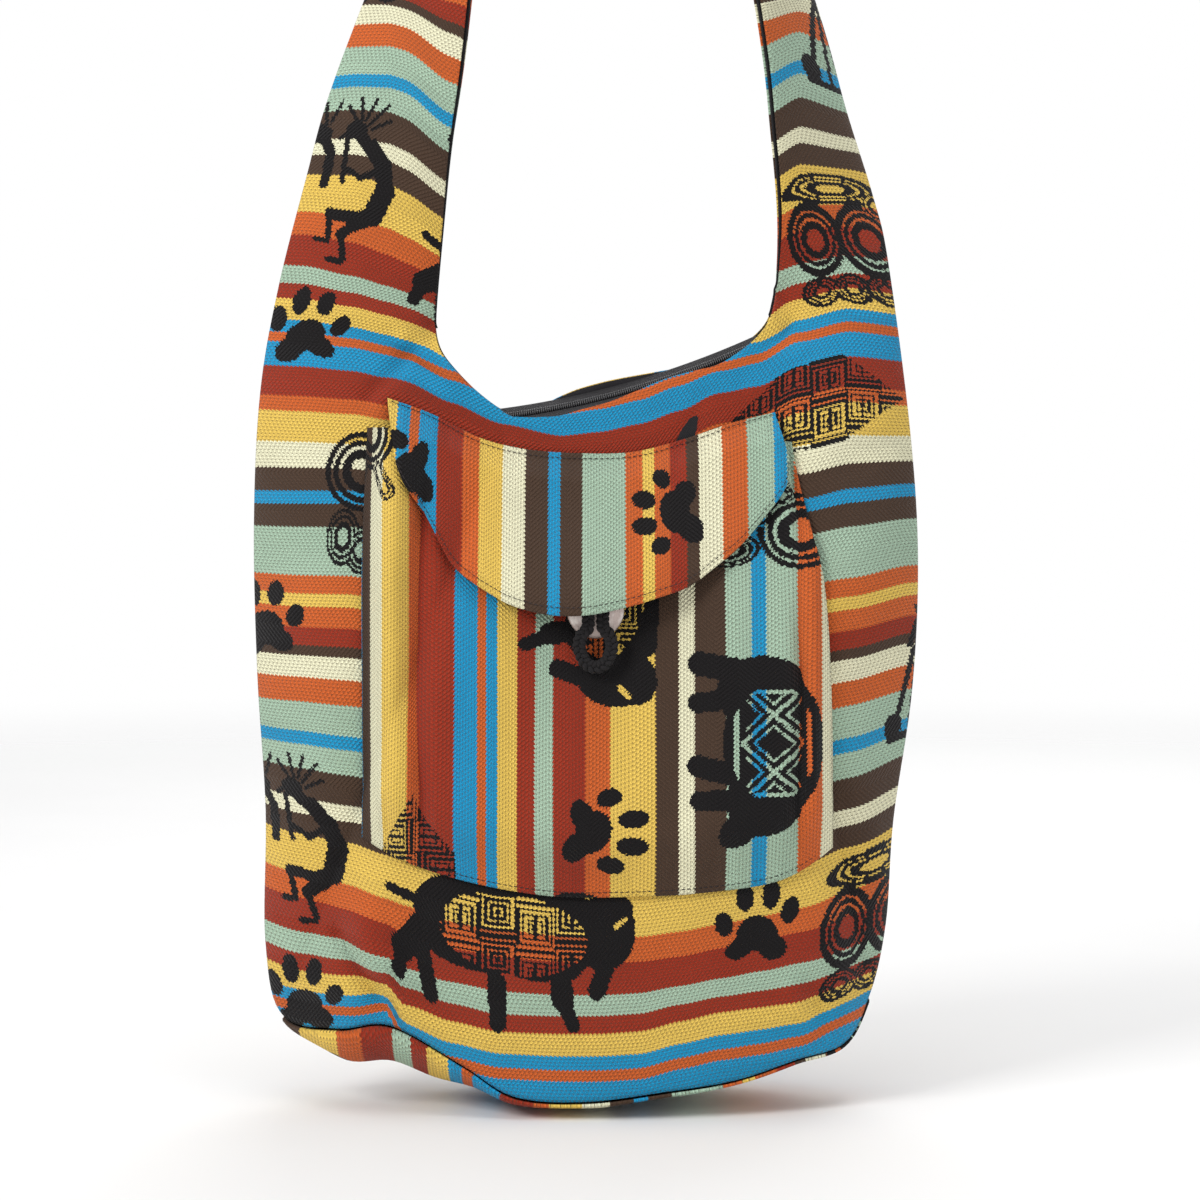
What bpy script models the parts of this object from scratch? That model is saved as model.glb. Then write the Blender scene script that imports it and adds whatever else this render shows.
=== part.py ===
"""Shoulder bag of striped woven cloth, with a zip mouth and a flapped patch pocket.

The bag hangs from the crown of its strap. The front faces -Y, +X is to the right and +Z is up.
Heights in this script are measured up from the lowest point of the base, and one empty carries
the whole bag so that the underside of the strap's crown lies at the origin.
"""
import math
from dataclasses import dataclass

import bmesh
import bpy
from mathutils import Matrix, Vector
from mathutils.bvhtree import BVHTree

# Driving dimensions in metres
BAG_WIDTH = 0.374
MOUTH_HEIGHT = 0.395
STRAP_DROP = 0.485
STRAP_WIDTH = 0.060
BASE_DEPTH = 0.110
BELLY = 0.036
MOUTH_GAP = 0.029
BACK_RISE = 0.013

# Cloth and clearances
CLOTH = 0.0016
LINING = 0.0008
TAPE = 0.0006
TOUCH = 0.0003
SEWN_GAP = 0.0012
STRAP_EASE = 0.0006
LINING_SLACK = 0.0050
RIM_DROP = 0.9

# Crown of the strap, where it bends over what carries it
CROWN_X = 0.010
CROWN_FLAT = 0.028
CROWN_BEND = 0.035
CROWN_BEND_ANGLE = math.radians(75)
STRAP_PUFF = 0.0012
PIPING_SHOW = 0.0015

# Zip: the chain runs on an arc about an axis along Y. Its ends are shares of the half width.
ZIP_RADIUS = 0.526
ZIP_CENTRE_X = -0.116
ZIP_SAG = 0.009
ZIP_START_SHARE = -0.3556
ZIP_END_SHARE = 0.54
ZIP_TILT = math.radians(23)
ZIP_TAPE_HEM = 0.0045
COIL_WIDTH = 0.0022
COIL_HEIGHT = 0.0026
COIL_SPLIT = 0.0012
STOP_LENGTH = 0.0025

# Slider and pull
SLIDER_LENGTH = 0.0140
SLIDER_WIDTH = 0.0092
SLIDER_PLATE = 0.0012
SLIDER_LIP = 0.0010
SLIDER_POST = 0.0006
SLIDER_POST_LENGTH = 0.0020
BRIDGE_LENGTH = 0.0100
BRIDGE_WIDTH = 0.0020
BRIDGE_BAR = 0.0011
BRIDGE_ROOM = 0.0022
PULL_LENGTH = 0.0230
PULL_WIDTH = 0.0066
PULL_THICKNESS = 0.0012
PULL_EYE_LENGTH = 0.0074
PULL_EYE_WIDTH = 0.0034

# Patch pocket and flap
POCKET_WIDTH = 0.262
POCKET_X = 0.008
POCKET_DROP = 0.246
POCKET_SWELL = 0.015
POCKET_BELOW_FLAP = 0.017
FLAP_WIDTH = 0.226
FLAP_X = 0.003
FLAP_BELOW_MOUTH = 0.025
FLAP_DROP = 0.089
FLAP_LAYER = 0.0010
FLAP_CLEARANCE = 0.0036
FLAP_SEAT = 0.0014
FLAP_LAYER_STEP = 0.0021

# Button and loop
BUTTON_X = 0.007
BUTTON_BELOW_SEAM = 0.087
BUTTON_DIAMETER = 0.032
BUTTON_THICKNESS = 0.0046
BUTTON_RIM = 0.00161
BUTTON_EDGE = 0.00064
BUTTON_DENT = 0.0050
SHANK_DIAMETER = 0.006
SHANK_LENGTH = 0.0042
LOOP_CORD = 0.0076
LOOP_WIDTH = 0.0255
LOOP_LENGTH = 0.0440

# Mesh fineness
SAMPLES_PER_STATION = 2
PANEL_SHARES = (0.0, 0.05, 0.14, 0.26, 0.40, 0.50, 0.60, 0.73, 0.85, 0.94, 1.0)
POUCH_SHARES = (0.012, 0.05, 0.14, 0.26, 0.40, 0.60, 0.78, 0.92)
STRAP_LINING_SHARES = (0.0, 0.26, 0.50, 0.73)
BASE_COLUMNS = 8
LINING_BASE_COLUMNS = 6
POCKET_COLUMNS, POCKET_ROWS = 24, 12
FLAP_COLUMNS, FLAP_ROWS = 20, 9
SHANK_SIDES = 16
BUTTON_SIDES = 32
BUTTON_DOME_STEPS = 7
LOOP_STEPS = 40
ZIP_STEPS = 16

# Edges of the patch pocket and the flap. Across is a share of the half width. For the pocket's
# sides, up is a share of its height, and for the flap's lower edge, a share of FLAP_DROP.
POCKET_LOWER_EDGE = [(-1.0, 0.031), (-0.80, 0.018), (-0.52, 0.007), (-0.20, 0.0), (0.10, -0.0005),
                     (0.45, 0.002), (0.78, 0.0085), (1.0, 0.025)]
POCKET_LEFT_EDGE = [(-1.0, 0.0), (-1.0, 0.33), (-1.0, 0.66), (-0.985, 1.0)]
POCKET_RIGHT_EDGE = [(1.0, 0.0), (0.995, 0.45), (0.955, 0.76), (0.835, 1.0)]
FLAP_UPPER_EDGE = [(-1.0, 0.031), (-0.78, 0.022), (-0.55, 0.009), (-0.33, 0.0025), (-0.06, 0.0),
                   (0.21, 0.0005), (0.45, 0.007), (0.72, 0.017), (0.93, 0.023)]
FLAP_LOWER_EDGE = [(-0.94, 0.053), (-0.81, 0.32), (-0.67, 0.55), (-0.53, 0.80), (-0.34, 0.93),
                   (-0.20, 1.0), (0.0, 1.0), (0.20, 0.95), (0.33, 0.90), (0.49, 0.83), (0.62, 0.71),
                   (0.76, 0.56), (0.90, 0.35), (0.99, 0.17), (0.99, 0.012)]

COLLECTION = "striped_shoulder_bag"
HALF = BAG_WIDTH / 2
ZIP_START_X = ZIP_START_SHARE * HALF
ZIP_END_X = ZIP_END_SHARE * HALF
FLAP_TOP = MOUTH_HEIGHT - FLAP_BELOW_MOUTH
POCKET_BOTTOM = FLAP_TOP - POCKET_DROP
BUTTON_HEIGHT = FLAP_TOP - BUTTON_BELOW_SEAM


@dataclass
class Station:
    """One line across the panel, from its inner edge (mouth and strap) to its outer edge (seam)."""

    inner: Vector
    outer: Vector
    gap: float
    seam: float
    belly: float
    rise: float = 0.0
    square: float = 2.0
    skew: float = 1.3
    sag: float = 0.0


def body_station(inner, outer, gap, belly, seam=0.0, rise=0.0, sag=0.0):
    """A line of the body: places are shares of the half width and the mouth's height."""
    return Station(
        Vector((inner[0] * HALF, 0, inner[1] * MOUTH_HEIGHT)),
        Vector((outer[0] * HALF, 0, outer[1] * MOUTH_HEIGHT)),
        gap * MOUTH_GAP / 2,
        max(seam * BASE_DEPTH / 2, TOUCH / 2),
        belly * BELLY,
        rise * BACK_RISE,
        sag=sag * BASE_DEPTH,
    )


def strap_station(side, x, drop, width, turn, lean, puff, square=4.0):
    """A line across the strap. side is -1 on the left leg and 1 on the right leg."""
    reach = width * STRAP_WIDTH / 2
    turned, leaned = math.radians(turn), math.radians(lean)
    centre = Vector((x * HALF, 0, MOUTH_HEIGHT + drop * STRAP_DROP))
    across = Vector((
        -side * math.cos(turned) * math.cos(leaned),
        -math.sin(turned),
        -math.cos(turned) * math.sin(leaned),
    )) * reach
    layer = LINING / 2 + STRAP_EASE
    return Station(centre + across, centre - across, layer, layer, puff * STRAP_PUFF,
                   square=square, skew=1.0)


def crown_station(offset, bend_angle=0.0):
    """A line across the crown, offset along X from its middle and then round the bend."""
    turn_x = math.copysign(CROWN_BEND * math.sin(bend_angle), offset)
    x = CROWN_X + offset + turn_x
    z = MOUTH_HEIGHT + STRAP_DROP - CROWN_BEND * (1 - math.cos(bend_angle))
    layer = LINING / 2 + STRAP_EASE
    return Station(Vector((x, -STRAP_WIDTH / 2, z)), Vector((x, STRAP_WIDTH / 2, z)),
                   layer, layer, STRAP_PUFF, square=6.0, skew=1.0)


def panel_stations():
    """The lines in order: crown, left leg, left side, base, right side, right leg."""
    half_flat = CROWN_FLAT / 2
    crown = [
        crown_station(half_flat),
        crown_station(0.0),
        crown_station(-half_flat),
    ]
    left_leg = [
        crown_station(-half_flat, CROWN_BEND_ANGLE / 2),
        crown_station(-half_flat, CROWN_BEND_ANGLE),
        strap_station(-1, -0.358, 0.701, 1.05, 62, 12, 1.7),
        strap_station(-1, -0.516, 0.449, 1.17, 27, 19, 2.9, 3.0),
        strap_station(-1, -0.591, 0.335, 1.29, 17, 18, 4.2, 2.6),
        strap_station(-1, -0.631, 0.254, 1.35, 10, 16, 6.0, 2.3),
        strap_station(-1, -0.688, 0.132, 1.48, 4, 9, 9.0, 2.0),
    ]
    left_side = [
        body_station((-0.451, 1.114), (-0.979, 1.025), 0.28, 0.46),
        body_station((-0.433, 1.084), (-1.000, 0.835), 0.72, 0.64),
        body_station((-0.390, 1.057), (-0.992, 0.620), 1.00, 0.83),
        body_station((-0.332, 1.029), (-0.968, 0.418), 1.00, 0.98),
        body_station((-0.267, 1.005), (-0.971, 0.228), 1.00, 1.02),
        body_station((-0.225, 0.991), (-0.920, 0.120), 1.00, 0.98, rise=0.15, sag=0.01),
    ]
    base = [
        body_station((-0.182, 0.988), (-0.743, 0.115), 1.00, 0.76, 0.58, 0.3, 0.17),
        body_station((-0.128, 0.988), (-0.578, 0.124), 1.00, 0.61, 0.77, 0.55, 0.235),
        body_station((-0.070, 0.990), (-0.358, 0.070), 1.00, 0.50, 0.91, 0.9, 0.15),
        body_station((-0.011, 0.998), (-0.203, 0.027), 1.00, 0.45, 0.97, 1.0, 0.065),
        body_station((0.075, 1.009), (0.011, 0.021), 1.00, 0.45, 1.00, 1.0, 0.055),
        body_station((0.160, 1.025), (0.241, 0.034), 1.00, 0.47, 0.97, 0.75, 0.05),
        body_station((0.246, 1.042), (0.455, 0.048), 1.00, 0.56, 0.86, 0.45, 0.035),
        body_station((0.332, 1.054), (0.642, 0.073), 1.00, 0.70, 0.68, 0.3, 0.022),
        body_station((0.401, 1.062), (0.791, 0.091), 1.00, 0.86, 0.42, 0.35, 0.015),
    ]
    right_side = [
        body_station((0.460, 1.078), (0.872, 0.147), 1.00, 1.00, rise=0.3, sag=0.01),
        body_station((0.508, 1.095), (0.922, 0.253), 1.00, 1.02, rise=0.2),
        body_station((0.545, 1.114), (0.944, 0.405), 1.00, 0.98, rise=0.1),
        body_station((0.567, 1.133), (1.000, 0.595), 0.98, 0.81),
        body_station((0.578, 1.151), (1.016, 0.785), 0.66, 0.62),
        body_station((0.587, 1.170), (0.989, 0.975), 0.26, 0.46),
    ]
    right_leg = [
        strap_station(1, 0.759, 0.166, 1.07, 15, 8, 8.0, 2.0),
        strap_station(1, 0.738, 0.239, 1.11, 35, 13, 5.5, 2.3),
        strap_station(1, 0.687, 0.336, 1.13, 48, 22, 4.0, 2.6),
        strap_station(1, 0.626, 0.454, 1.12, 57, 25, 2.9, 3.0),
        strap_station(1, 0.463, 0.701, 1.05, 74, 10, 1.7),
        crown_station(half_flat, CROWN_BEND_ANGLE),
        crown_station(half_flat, CROWN_BEND_ANGLE / 2),
    ]
    return crown, left_leg, left_side, base, right_side, right_leg


def smooth_value(before, start, end, after, share):
    """Catmull-Rom value between start and end, for numbers and vectors alike."""
    return 0.5 * (
        2 * start
        + (end - before) * share
        + (2 * before - 5 * start + 4 * end - after) * share ** 2
        + (3 * start - before - 3 * end + after) * share ** 3
    )


def between(stations, index, share):
    """The line at a share of the way from one station of the closed ring to the next."""
    count = len(stations)
    around = [stations[(index + step) % count] for step in (-1, 0, 1, 2)]

    def mix(name):
        return smooth_value(*[getattr(station, name) for station in around], share)

    least = TOUCH / 2
    return Station(mix("inner"), mix("outer"), max(mix("gap"), least), max(mix("seam"), least),
                   max(mix("belly"), 0.0), mix("rise"), mix("square"), mix("skew"),
                   max(mix("sag"), 0.0))


def ring_of_lines(stations, flat_count):
    """Lines round the ring; the flat crown's own stations are not divided."""
    lines = []
    for index, station in enumerate(stations):
        lines.append(station)
        if index < flat_count:
            continue
        for step in range(1, SAMPLES_PER_STATION):
            lines.append(between(stations, index, step / SAMPLES_PER_STATION))
    return lines


def line_normals(lines):
    """Outward direction of the front cloth at each line of the ring."""
    normals = []
    count = len(lines)
    for index, line in enumerate(lines):
        after, before = lines[(index + 1) % count], lines[index - 1]
        along = after.inner + after.outer - before.inner - before.outer
        normals.append((line.outer - line.inner).cross(along).normalized())
    return normals


def swell(line, share):
    """Height of the cloth over the middle surface, at a share of the way from inner to outer."""
    hump = (1 - abs(2 * share ** line.skew - 1) ** line.square) ** 0.8
    flat_by_zip = min(line.gap / (MOUTH_GAP / 2), 1.0)
    hump *= 1 - flat_by_zip * (1 - fade(share * 3))
    return line.gap * (1 - share) + line.seam * share + line.belly * hump


def panel_point(line, normal, share, front, inset=0.0):
    """Inner face of the front or back cloth. inset draws it in, for the lining."""
    middle = line.inner.lerp(line.outer, share)
    height = max(swell(line, share) - inset, TOUCH / 2)
    if front:
        return middle + normal * height
    return middle - normal * height + Vector((0, 0, line.rise * (1 - share) ** 2))


def material(name, colour, roughness, metallic=0.0):
    """A Principled material of one colour."""
    made = bpy.data.materials.new(name)
    made.use_nodes = True
    shader = made.node_tree.nodes["Principled BSDF"]
    shader.inputs["Base Color"].default_value = (*colour, 1.0)
    shader.inputs["Roughness"].default_value = roughness
    shader.inputs["Metallic"].default_value = metallic
    return made


def link(name, mesh, finish, parent):
    """Put a mesh in the bag's collection as a named object with its own material."""
    made = bpy.data.objects.new(name, mesh)
    mesh.materials.append(finish)
    bpy.data.collections[COLLECTION].objects.link(made)
    made.parent = parent
    return made


def grid_object(name, points, finish, parent, closed=False, reverse=False):
    """An open sheet through rows of points. closed joins the last row to the first."""
    rows, columns = len(points), len(points[0])
    corners = [point for row in points for point in row]
    faces = []
    for row in range(rows if closed else rows - 1):
        below = row * columns
        above = ((row + 1) % rows) * columns
        for column in range(columns - 1):
            face = (below + column, below + column + 1, above + column + 1, above + column)
            faces.append(face[::-1] if reverse else face)
    mesh = bpy.data.meshes.new(name)
    mesh.from_pydata([tuple(corner) for corner in corners], [], faces)
    mesh.shade_smooth()
    return link(name, mesh, finish, parent)


def add_wall(made, thickness):
    """Give a sheet its thickness on its outer side."""
    wall = made.modifiers.new("wall", "SOLIDIFY")
    wall.thickness = thickness
    wall.offset = 1.0
    wall.use_even_offset = True
    return made


def evaluated_tree(made):
    """Search tree of an object's finished mesh, in the bag's own heights."""
    bpy.context.view_layer.update()
    return BVHTree.FromObject(made, bpy.context.evaluated_depsgraph_get())


def skin_depth(tree, x, z):
    """Y of the first cloth that a line along +Y meets."""
    hit = tree.ray_cast(Vector((x, -1.0, z)), Vector((0, 1, 0)))[0]
    return hit.y


def fade(value):
    """Smooth step from 0 to 1."""
    value = min(max(value, 0.0), 1.0)
    return value * value * (3 - 2 * value)


def along_points(points, share):
    """Smooth curve through hand-chosen points, at a share of their count."""
    place = share * (len(points) - 1)
    index = min(int(place), len(points) - 2)
    first = Vector(points[max(index - 1, 0)])
    last = Vector(points[min(index + 2, len(points) - 1)])
    return smooth_value(first, Vector(points[index]), Vector(points[index + 1]), last, place - index)


def make_panels(parent, finishes):
    """Front, back and base cloth, their lining and the black layer of the strap."""
    groups = panel_stations()
    stations = [station for group in groups for station in group]
    lines = ring_of_lines(stations, len(groups[0]) - 1)
    normals = line_normals(lines)

    def first_line(group_index):
        """Index in the ring of the first line of a group of stations."""
        return lines.index(groups[group_index][0])

    made = {}
    for name, front in (("front_panel", True), ("back_panel", False)):
        points = [
            [panel_point(line, normal, share, front) for share in PANEL_SHARES]
            for line, normal in zip(lines, normals)
        ]
        sheet = grid_object(name, points, finishes["cloth"], parent, closed=True, reverse=not front)
        made[name] = add_wall(sheet, CLOTH)

    body_start, body_end = first_line(2), first_line(5) - 3 * SAMPLES_PER_STATION
    body = list(zip(lines, normals))[body_start:body_end]
    for name, front in (("lining_front", True), ("lining_back", False)):
        points = [
            [lining_point(line, normal, share, front) for share in POUCH_SHARES]
            for line, normal in body
        ]
        sheet = grid_object(name, points, finishes["lining"], parent, reverse=not front)
        add_wall(sheet, LINING)

    base_start, base_end = lines.index(groups[2][-1]), first_line(4)
    bottom = list(zip(lines, normals))[base_start:base_end + 1]
    make_base(bottom, finishes["base"], parent)
    make_lining_base(bottom, POUCH_SHARES[-1], finishes["lining"], parent)
    make_strap_lining(lines, normals, body_start, body_end, finishes["lining"], parent)
    return made


def lining_point(line, normal, share, front):
    """Inner face of the lining, which hangs slack inside the cloth and is sewn to the zip."""
    at_tape = TOUCH + LINING
    slack = at_tape + (LINING_SLACK - at_tape) * fade((share - 0.10) * 5)
    return panel_point(line, normal, share, front, slack)


def make_base(bottom, finish, parent):
    """The oval base, which sags between the lower seams of the front and the back."""
    columns = BASE_COLUMNS
    points = []
    for line, normal in bottom:
        front = panel_point(line, normal, 1.0, True) + normal * CLOTH
        back = panel_point(line, normal, 1.0, False) - normal * CLOTH
        row = []
        for column in range(columns + 1):
            across = column / columns
            point = front.lerp(back, across)
            hang = line.sag * (4 * across * (1 - across)) ** 0.7
            row.append(point - Vector((0, 0, TOUCH + RIM_DROP * CLOTH + hang)))
        points.append(row)
    return add_wall(grid_object("base_panel", points, finish, parent), CLOTH)


def make_lining_base(bottom, share, finish, parent):
    """The lining's own base, under the edges of its front and back."""
    inner = bottom[1:-1]
    columns = LINING_BASE_COLUMNS
    points = []
    for line, normal in inner:
        front = lining_point(line, normal, share, True)
        back = lining_point(line, normal, share, False)
        row = [front.lerp(back, column / columns) for column in range(columns + 1)]
        points.append([point - Vector((0, 0, TOUCH)) for point in row])
    return add_wall(grid_object("lining_base", points, finish, parent), LINING)


def make_strap_lining(lines, normals, body_start, body_end, finish, parent):
    """Black layer between the strap's cloths, which shows past its inner edge."""
    strap = list(zip(lines, normals))
    ring = strap[body_end:] + strap[:body_start]
    points = []
    for line, normal in ring:
        edge = (line.outer - line.inner).normalized()
        row = [line.inner - edge * PIPING_SHOW]
        row += [line.inner.lerp(line.outer, share) for share in STRAP_LINING_SHARES]
        points.append([point - normal * LINING / 2 for point in row])
    return add_wall(grid_object("strap_lining", points, finish, parent), LINING)


@dataclass
class ZipPath:
    """The arc of the chain and the tilted plane of the tapes."""

    centre: Vector

    def angle(self, x):
        """Angle of the arc at a place along X."""
        return math.asin((x - self.centre.x) / ZIP_RADIUS)

    def frame(self, angle):
        """Chain point, direction along it, across it and out of its face."""
        toward = Vector((-math.sin(angle), 0, math.cos(angle)))
        along = Vector((math.cos(angle), 0, math.sin(angle)))
        back = Vector((0, 1, 0))
        across = back * math.cos(ZIP_TILT) + toward * math.sin(ZIP_TILT)
        face = toward * math.cos(ZIP_TILT) - back * math.sin(ZIP_TILT)
        return self.centre - toward * ZIP_RADIUS, along, across, face

    def matrix(self, angle):
        """Placement of a piece built along x, across y and out of the face z."""
        place, along, across, face = self.frame(angle)
        turned = Matrix((along, across, face)).transposed().to_4x4()
        return Matrix.Translation(place) @ turned


def zip_path():
    """The zip lies on the mouth: its arc is set from the mouth's height."""
    return ZipPath(Vector((ZIP_CENTRE_X, 0, MOUTH_HEIGHT - ZIP_SAG + ZIP_RADIUS)))


def swept_object(name, path, start, end, section, finish, parent, steps=ZIP_STEPS):
    """A closed bar whose section (across, out) follows the zip's arc."""
    corners, faces = [], []
    count = len(section)
    for step in range(steps + 1):
        place, _, across, face = path.frame(start + (end - start) * step / steps)
        corners += [place + across * u + face * v for u, v in section]
    for step in range(steps):
        for index in range(count):
            after = (index + 1) % count
            here, there = step * count, (step + 1) * count
            faces.append((here + index, there + index, there + after, here + after))
    faces.append(tuple(range(count)))
    faces.append(tuple(steps * count + index for index in reversed(range(count))))
    mesh = bpy.data.meshes.new(name)
    mesh.from_pydata([tuple(corner) for corner in corners], [], faces)
    shape = bmesh.new()
    shape.from_mesh(mesh)
    bmesh.ops.recalc_face_normals(shape, faces=shape.faces)
    shape.to_mesh(mesh)
    shape.free()
    return link(name, mesh, finish, parent)


def tape_section(side):
    """Section of one tape: flat beside the coil, then turned down to be sewn to the cloth."""
    inner = COIL_SPLIT / 2 + COIL_WIDTH + TOUCH
    outer = (MOUTH_GAP / 2 - 2 * TOUCH - LINING - TAPE / 2) / math.cos(ZIP_TILT)
    half = TAPE / 2
    turn = Vector((-math.sin(ZIP_TILT), -math.cos(ZIP_TILT)))
    corner = Vector((side * (outer - half), 0))
    hem = corner + turn * ZIP_TAPE_HEM
    sideways = Vector((side * math.cos(ZIP_TILT), -side * math.sin(ZIP_TILT))) * half
    return [
        (side * inner, -half),
        (side * inner, half),
        (corner.x + sideways.x, half),
        tuple(hem + sideways),
        tuple(hem - sideways),
        tuple(corner - sideways + turn * half),
    ]


def make_zip(parent, finishes):
    """Tapes, coils and stops of the zip. Returns its path."""
    path = zip_path()
    start, end = path.angle(ZIP_START_X), path.angle(ZIP_END_X)
    stop = STOP_LENGTH / ZIP_RADIUS
    gap = TOUCH / ZIP_RADIUS
    inner, outer = COIL_SPLIT / 2, COIL_SPLIT / 2 + COIL_WIDTH
    half, proud = COIL_HEIGHT / 2, COIL_HEIGHT / 2 + TOUCH
    for name, side in (("front", -1), ("back", 1)):
        swept_object(f"zip_tape_{name}", path, start, end, tape_section(side),
                     finishes["tape"], parent)
        coil = [(side * inner, -half), (side * outer, -half), (side * outer, half),
                (side * inner, half)]
        swept_object(f"zip_coil_{name}", path, start + stop + gap, end - stop - gap, coil,
                     finishes["coil"], parent)
        block = [(side * inner, -proud), (side * outer, -proud), (side * outer, proud),
                 (side * inner, proud)]
        swept_object(f"zip_top_stop_{name}", path, start, start + stop, block,
                     finishes["metal"], parent, 1)
    block = [(-outer, -proud), (outer, -proud), (outer, proud), (-outer, proud)]
    swept_object("zip_bottom_stop", path, end - stop, end, block, finishes["metal"], parent, 1)
    return path


def box(shape, low, high):
    """Add a box to a bmesh, from its lowest to its highest corner."""
    made = bmesh.ops.create_cube(shape, size=1.0)["verts"]
    low, high = Vector(low), Vector(high)
    for corner in made:
        corner.co = low + Vector([(corner.co[axis] + 0.5) * (high - low)[axis] for axis in range(3)])


def box_mesh(name, low, high):
    """A mesh of one box."""
    shape = bmesh.new()
    box(shape, low, high)
    mesh = bpy.data.meshes.new(name)
    shape.to_mesh(mesh)
    shape.free()
    return mesh


def joined(made, boxes, cutters, operation):
    """Join boxes to an object, or cut them from it, with exact Booleans."""
    for index, (low, high) in enumerate(boxes):
        tool = bpy.data.objects.new(f"{made.name}_tool_{operation.lower()}_{index}",
                                    box_mesh("tool", low, high))
        cutters.objects.link(tool)
        tool.parent = made
        tool.hide_render = True
        tool.display_type = "WIRE"
        change = made.modifiers.new(f"{operation.lower()}_{index}", "BOOLEAN")
        change.operation = operation
        change.solver = "EXACT"
        change.object = tool
    return made


def make_slider(parent, path, cutters, finishes):
    """Slider and pull. The slider's empty lies on the axis of the zip's arc."""
    axis = bpy.data.objects.new("zip_arc_axis", None)
    bpy.data.collections[COLLECTION].objects.link(axis)
    axis.parent = parent
    axis.location = path.centre

    length, width = SLIDER_LENGTH / 2, SLIDER_WIDTH / 2
    low = COIL_HEIGHT / 2 + TOUCH
    high = low + SLIDER_PLATE
    lip = TAPE / 2 + TOUCH
    overlap = SLIDER_PLATE / 4
    top = high + BRIDGE_ROOM
    bridge, bar = BRIDGE_LENGTH / 2, BRIDGE_WIDTH / 2
    parts = [
        ((-length, -width, -high), (length, width, -low)),
        ((-length, -SLIDER_POST / 2, -high + overlap),
         (-length + SLIDER_POST_LENGTH, SLIDER_POST / 2, high - overlap)),
        ((-bridge, -bar, high - overlap), (-bridge + BRIDGE_BAR, bar, top)),
        ((bridge - BRIDGE_BAR, -bar, high - overlap), (bridge, bar, top)),
        ((-bridge, -bar, top - overlap), (bridge, bar, top + BRIDGE_BAR)),
    ]
    for side in (-1, 1):
        edges = sorted((side * width, side * (width - SLIDER_LIP)))
        for floor in (-1, 1):
            ends = sorted((floor * lip, floor * (low + overlap)))
            parts.append(((-length, edges[0], ends[0]), (length, edges[1], ends[1])))
    start = path.angle(ZIP_START_X) + (STOP_LENGTH + TOUCH + length) / ZIP_RADIUS
    plate = box_mesh("zip_slider", (-length, -width, low), (length, width, high))
    slider = link("zip_slider", plate, finishes["metal"], axis)
    slider.matrix_local = Matrix.Translation(-path.centre) @ path.matrix(start)
    joined(slider, parts, cutters, "UNION")

    thick = PULL_THICKNESS / 2
    bar_low = high + (BRIDGE_ROOM - PULL_THICKNESS) / 2 + thick
    reach, half = -PULL_LENGTH + PULL_THICKNESS, PULL_WIDTH / 2
    tab = link("zip_pull", box_mesh("zip_pull", (reach, -half, -thick), (thick, half, thick)),
               finishes["metal"], slider)
    tab.location = (0, 0, bar_low)
    eye = PULL_EYE_WIDTH / 2
    cuts = [((-thick - PULL_EYE_LENGTH, -eye, -PULL_LENGTH), (-thick, eye, PULL_LENGTH))]
    joined(tab, cuts, cutters, "DIFFERENCE")
    return slider


def flap_seam(x):
    """Height of the flap's upper seam over a place along X."""
    side = min(max((x - FLAP_X) / (FLAP_WIDTH / 2), -1.0), 0.93)
    return FLAP_TOP + edge_height(FLAP_UPPER_EDGE, side)


def edge_height(edge, side):
    """Second value of an edge's points at a first value, by straight steps."""
    for (left, low), (right, high) in zip(edge, edge[1:]):
        if side <= right:
            return low + (high - low) * (side - left) / (right - left)
    return edge[-1][1]


def pocket_outline(across, up):
    """Place in X and Z of a point of the pocket, from shares across and up."""
    half = POCKET_WIDTH / 2
    left, right = along_points(POCKET_LEFT_EDGE, up), along_points(POCKET_RIGHT_EDGE, up)
    lower = along_points(POCKET_LOWER_EDGE, across)
    blend = fade(up * 4)
    side = lower.x + (left.x + (right.x - left.x) * across - lower.x) * blend
    x = POCKET_X + side * half
    bottom = POCKET_BOTTOM + lower.y
    top = flap_seam(x) - POCKET_BELOW_FLAP
    return x, bottom + (top - bottom) * up


def pocket_swell(across, up):
    """Height of the pocket over the bag's cloth, from shares across and up."""
    sides = fade(across / 0.075) * fade((1 - across) / 0.05)
    return POCKET_SWELL * sides * fade(up / 0.16) * (1 - 0.4 * up ** 3)


def button_dent(x, z):
    """Share of the button's dent in the pocket at a place in X and Z."""
    away = math.hypot(x - BUTTON_X, z - BUTTON_HEIGHT) / BUTTON_DIAMETER
    return math.exp(-away ** 2)


def make_pocket(parent, front_tree, finishes):
    """The patch pocket: its sides and lower edge are sewn to the front cloth."""
    columns, rows = POCKET_COLUMNS, POCKET_ROWS
    points = []
    for row in range(rows + 1):
        line = []
        for column in range(columns + 1):
            x, z = pocket_outline(column / columns, row / rows)
            height = pocket_swell(column / columns, row / rows)
            height -= BUTTON_DENT * button_dent(x, z) * min(height / POCKET_SWELL, 1.0)
            line.append(Vector((x, skin_depth(front_tree, x, z) - SEWN_GAP - height, z)))
        points.append(line)
    return add_wall(grid_object("pocket", points, finishes["pocket"], parent), CLOTH)


def flap_outline(across, down):
    """Place in X and Z of a point of the flap, from shares across and down."""
    half = FLAP_WIDTH / 2
    upper = along_points(FLAP_UPPER_EDGE, across)
    lower = along_points(FLAP_LOWER_EDGE, across)
    x = upper.x + (lower.x - upper.x) * down
    top, bottom = FLAP_TOP + upper.y, FLAP_TOP - (lower.y * FLAP_DROP)
    return FLAP_X + x * half, top + (bottom - top) * down


def flap_lift():
    """How far the flap stands off the pocket over the button and the loop."""
    return SHANK_LENGTH + BUTTON_THICKNESS + LOOP_CORD + 8 * TOUCH


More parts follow.
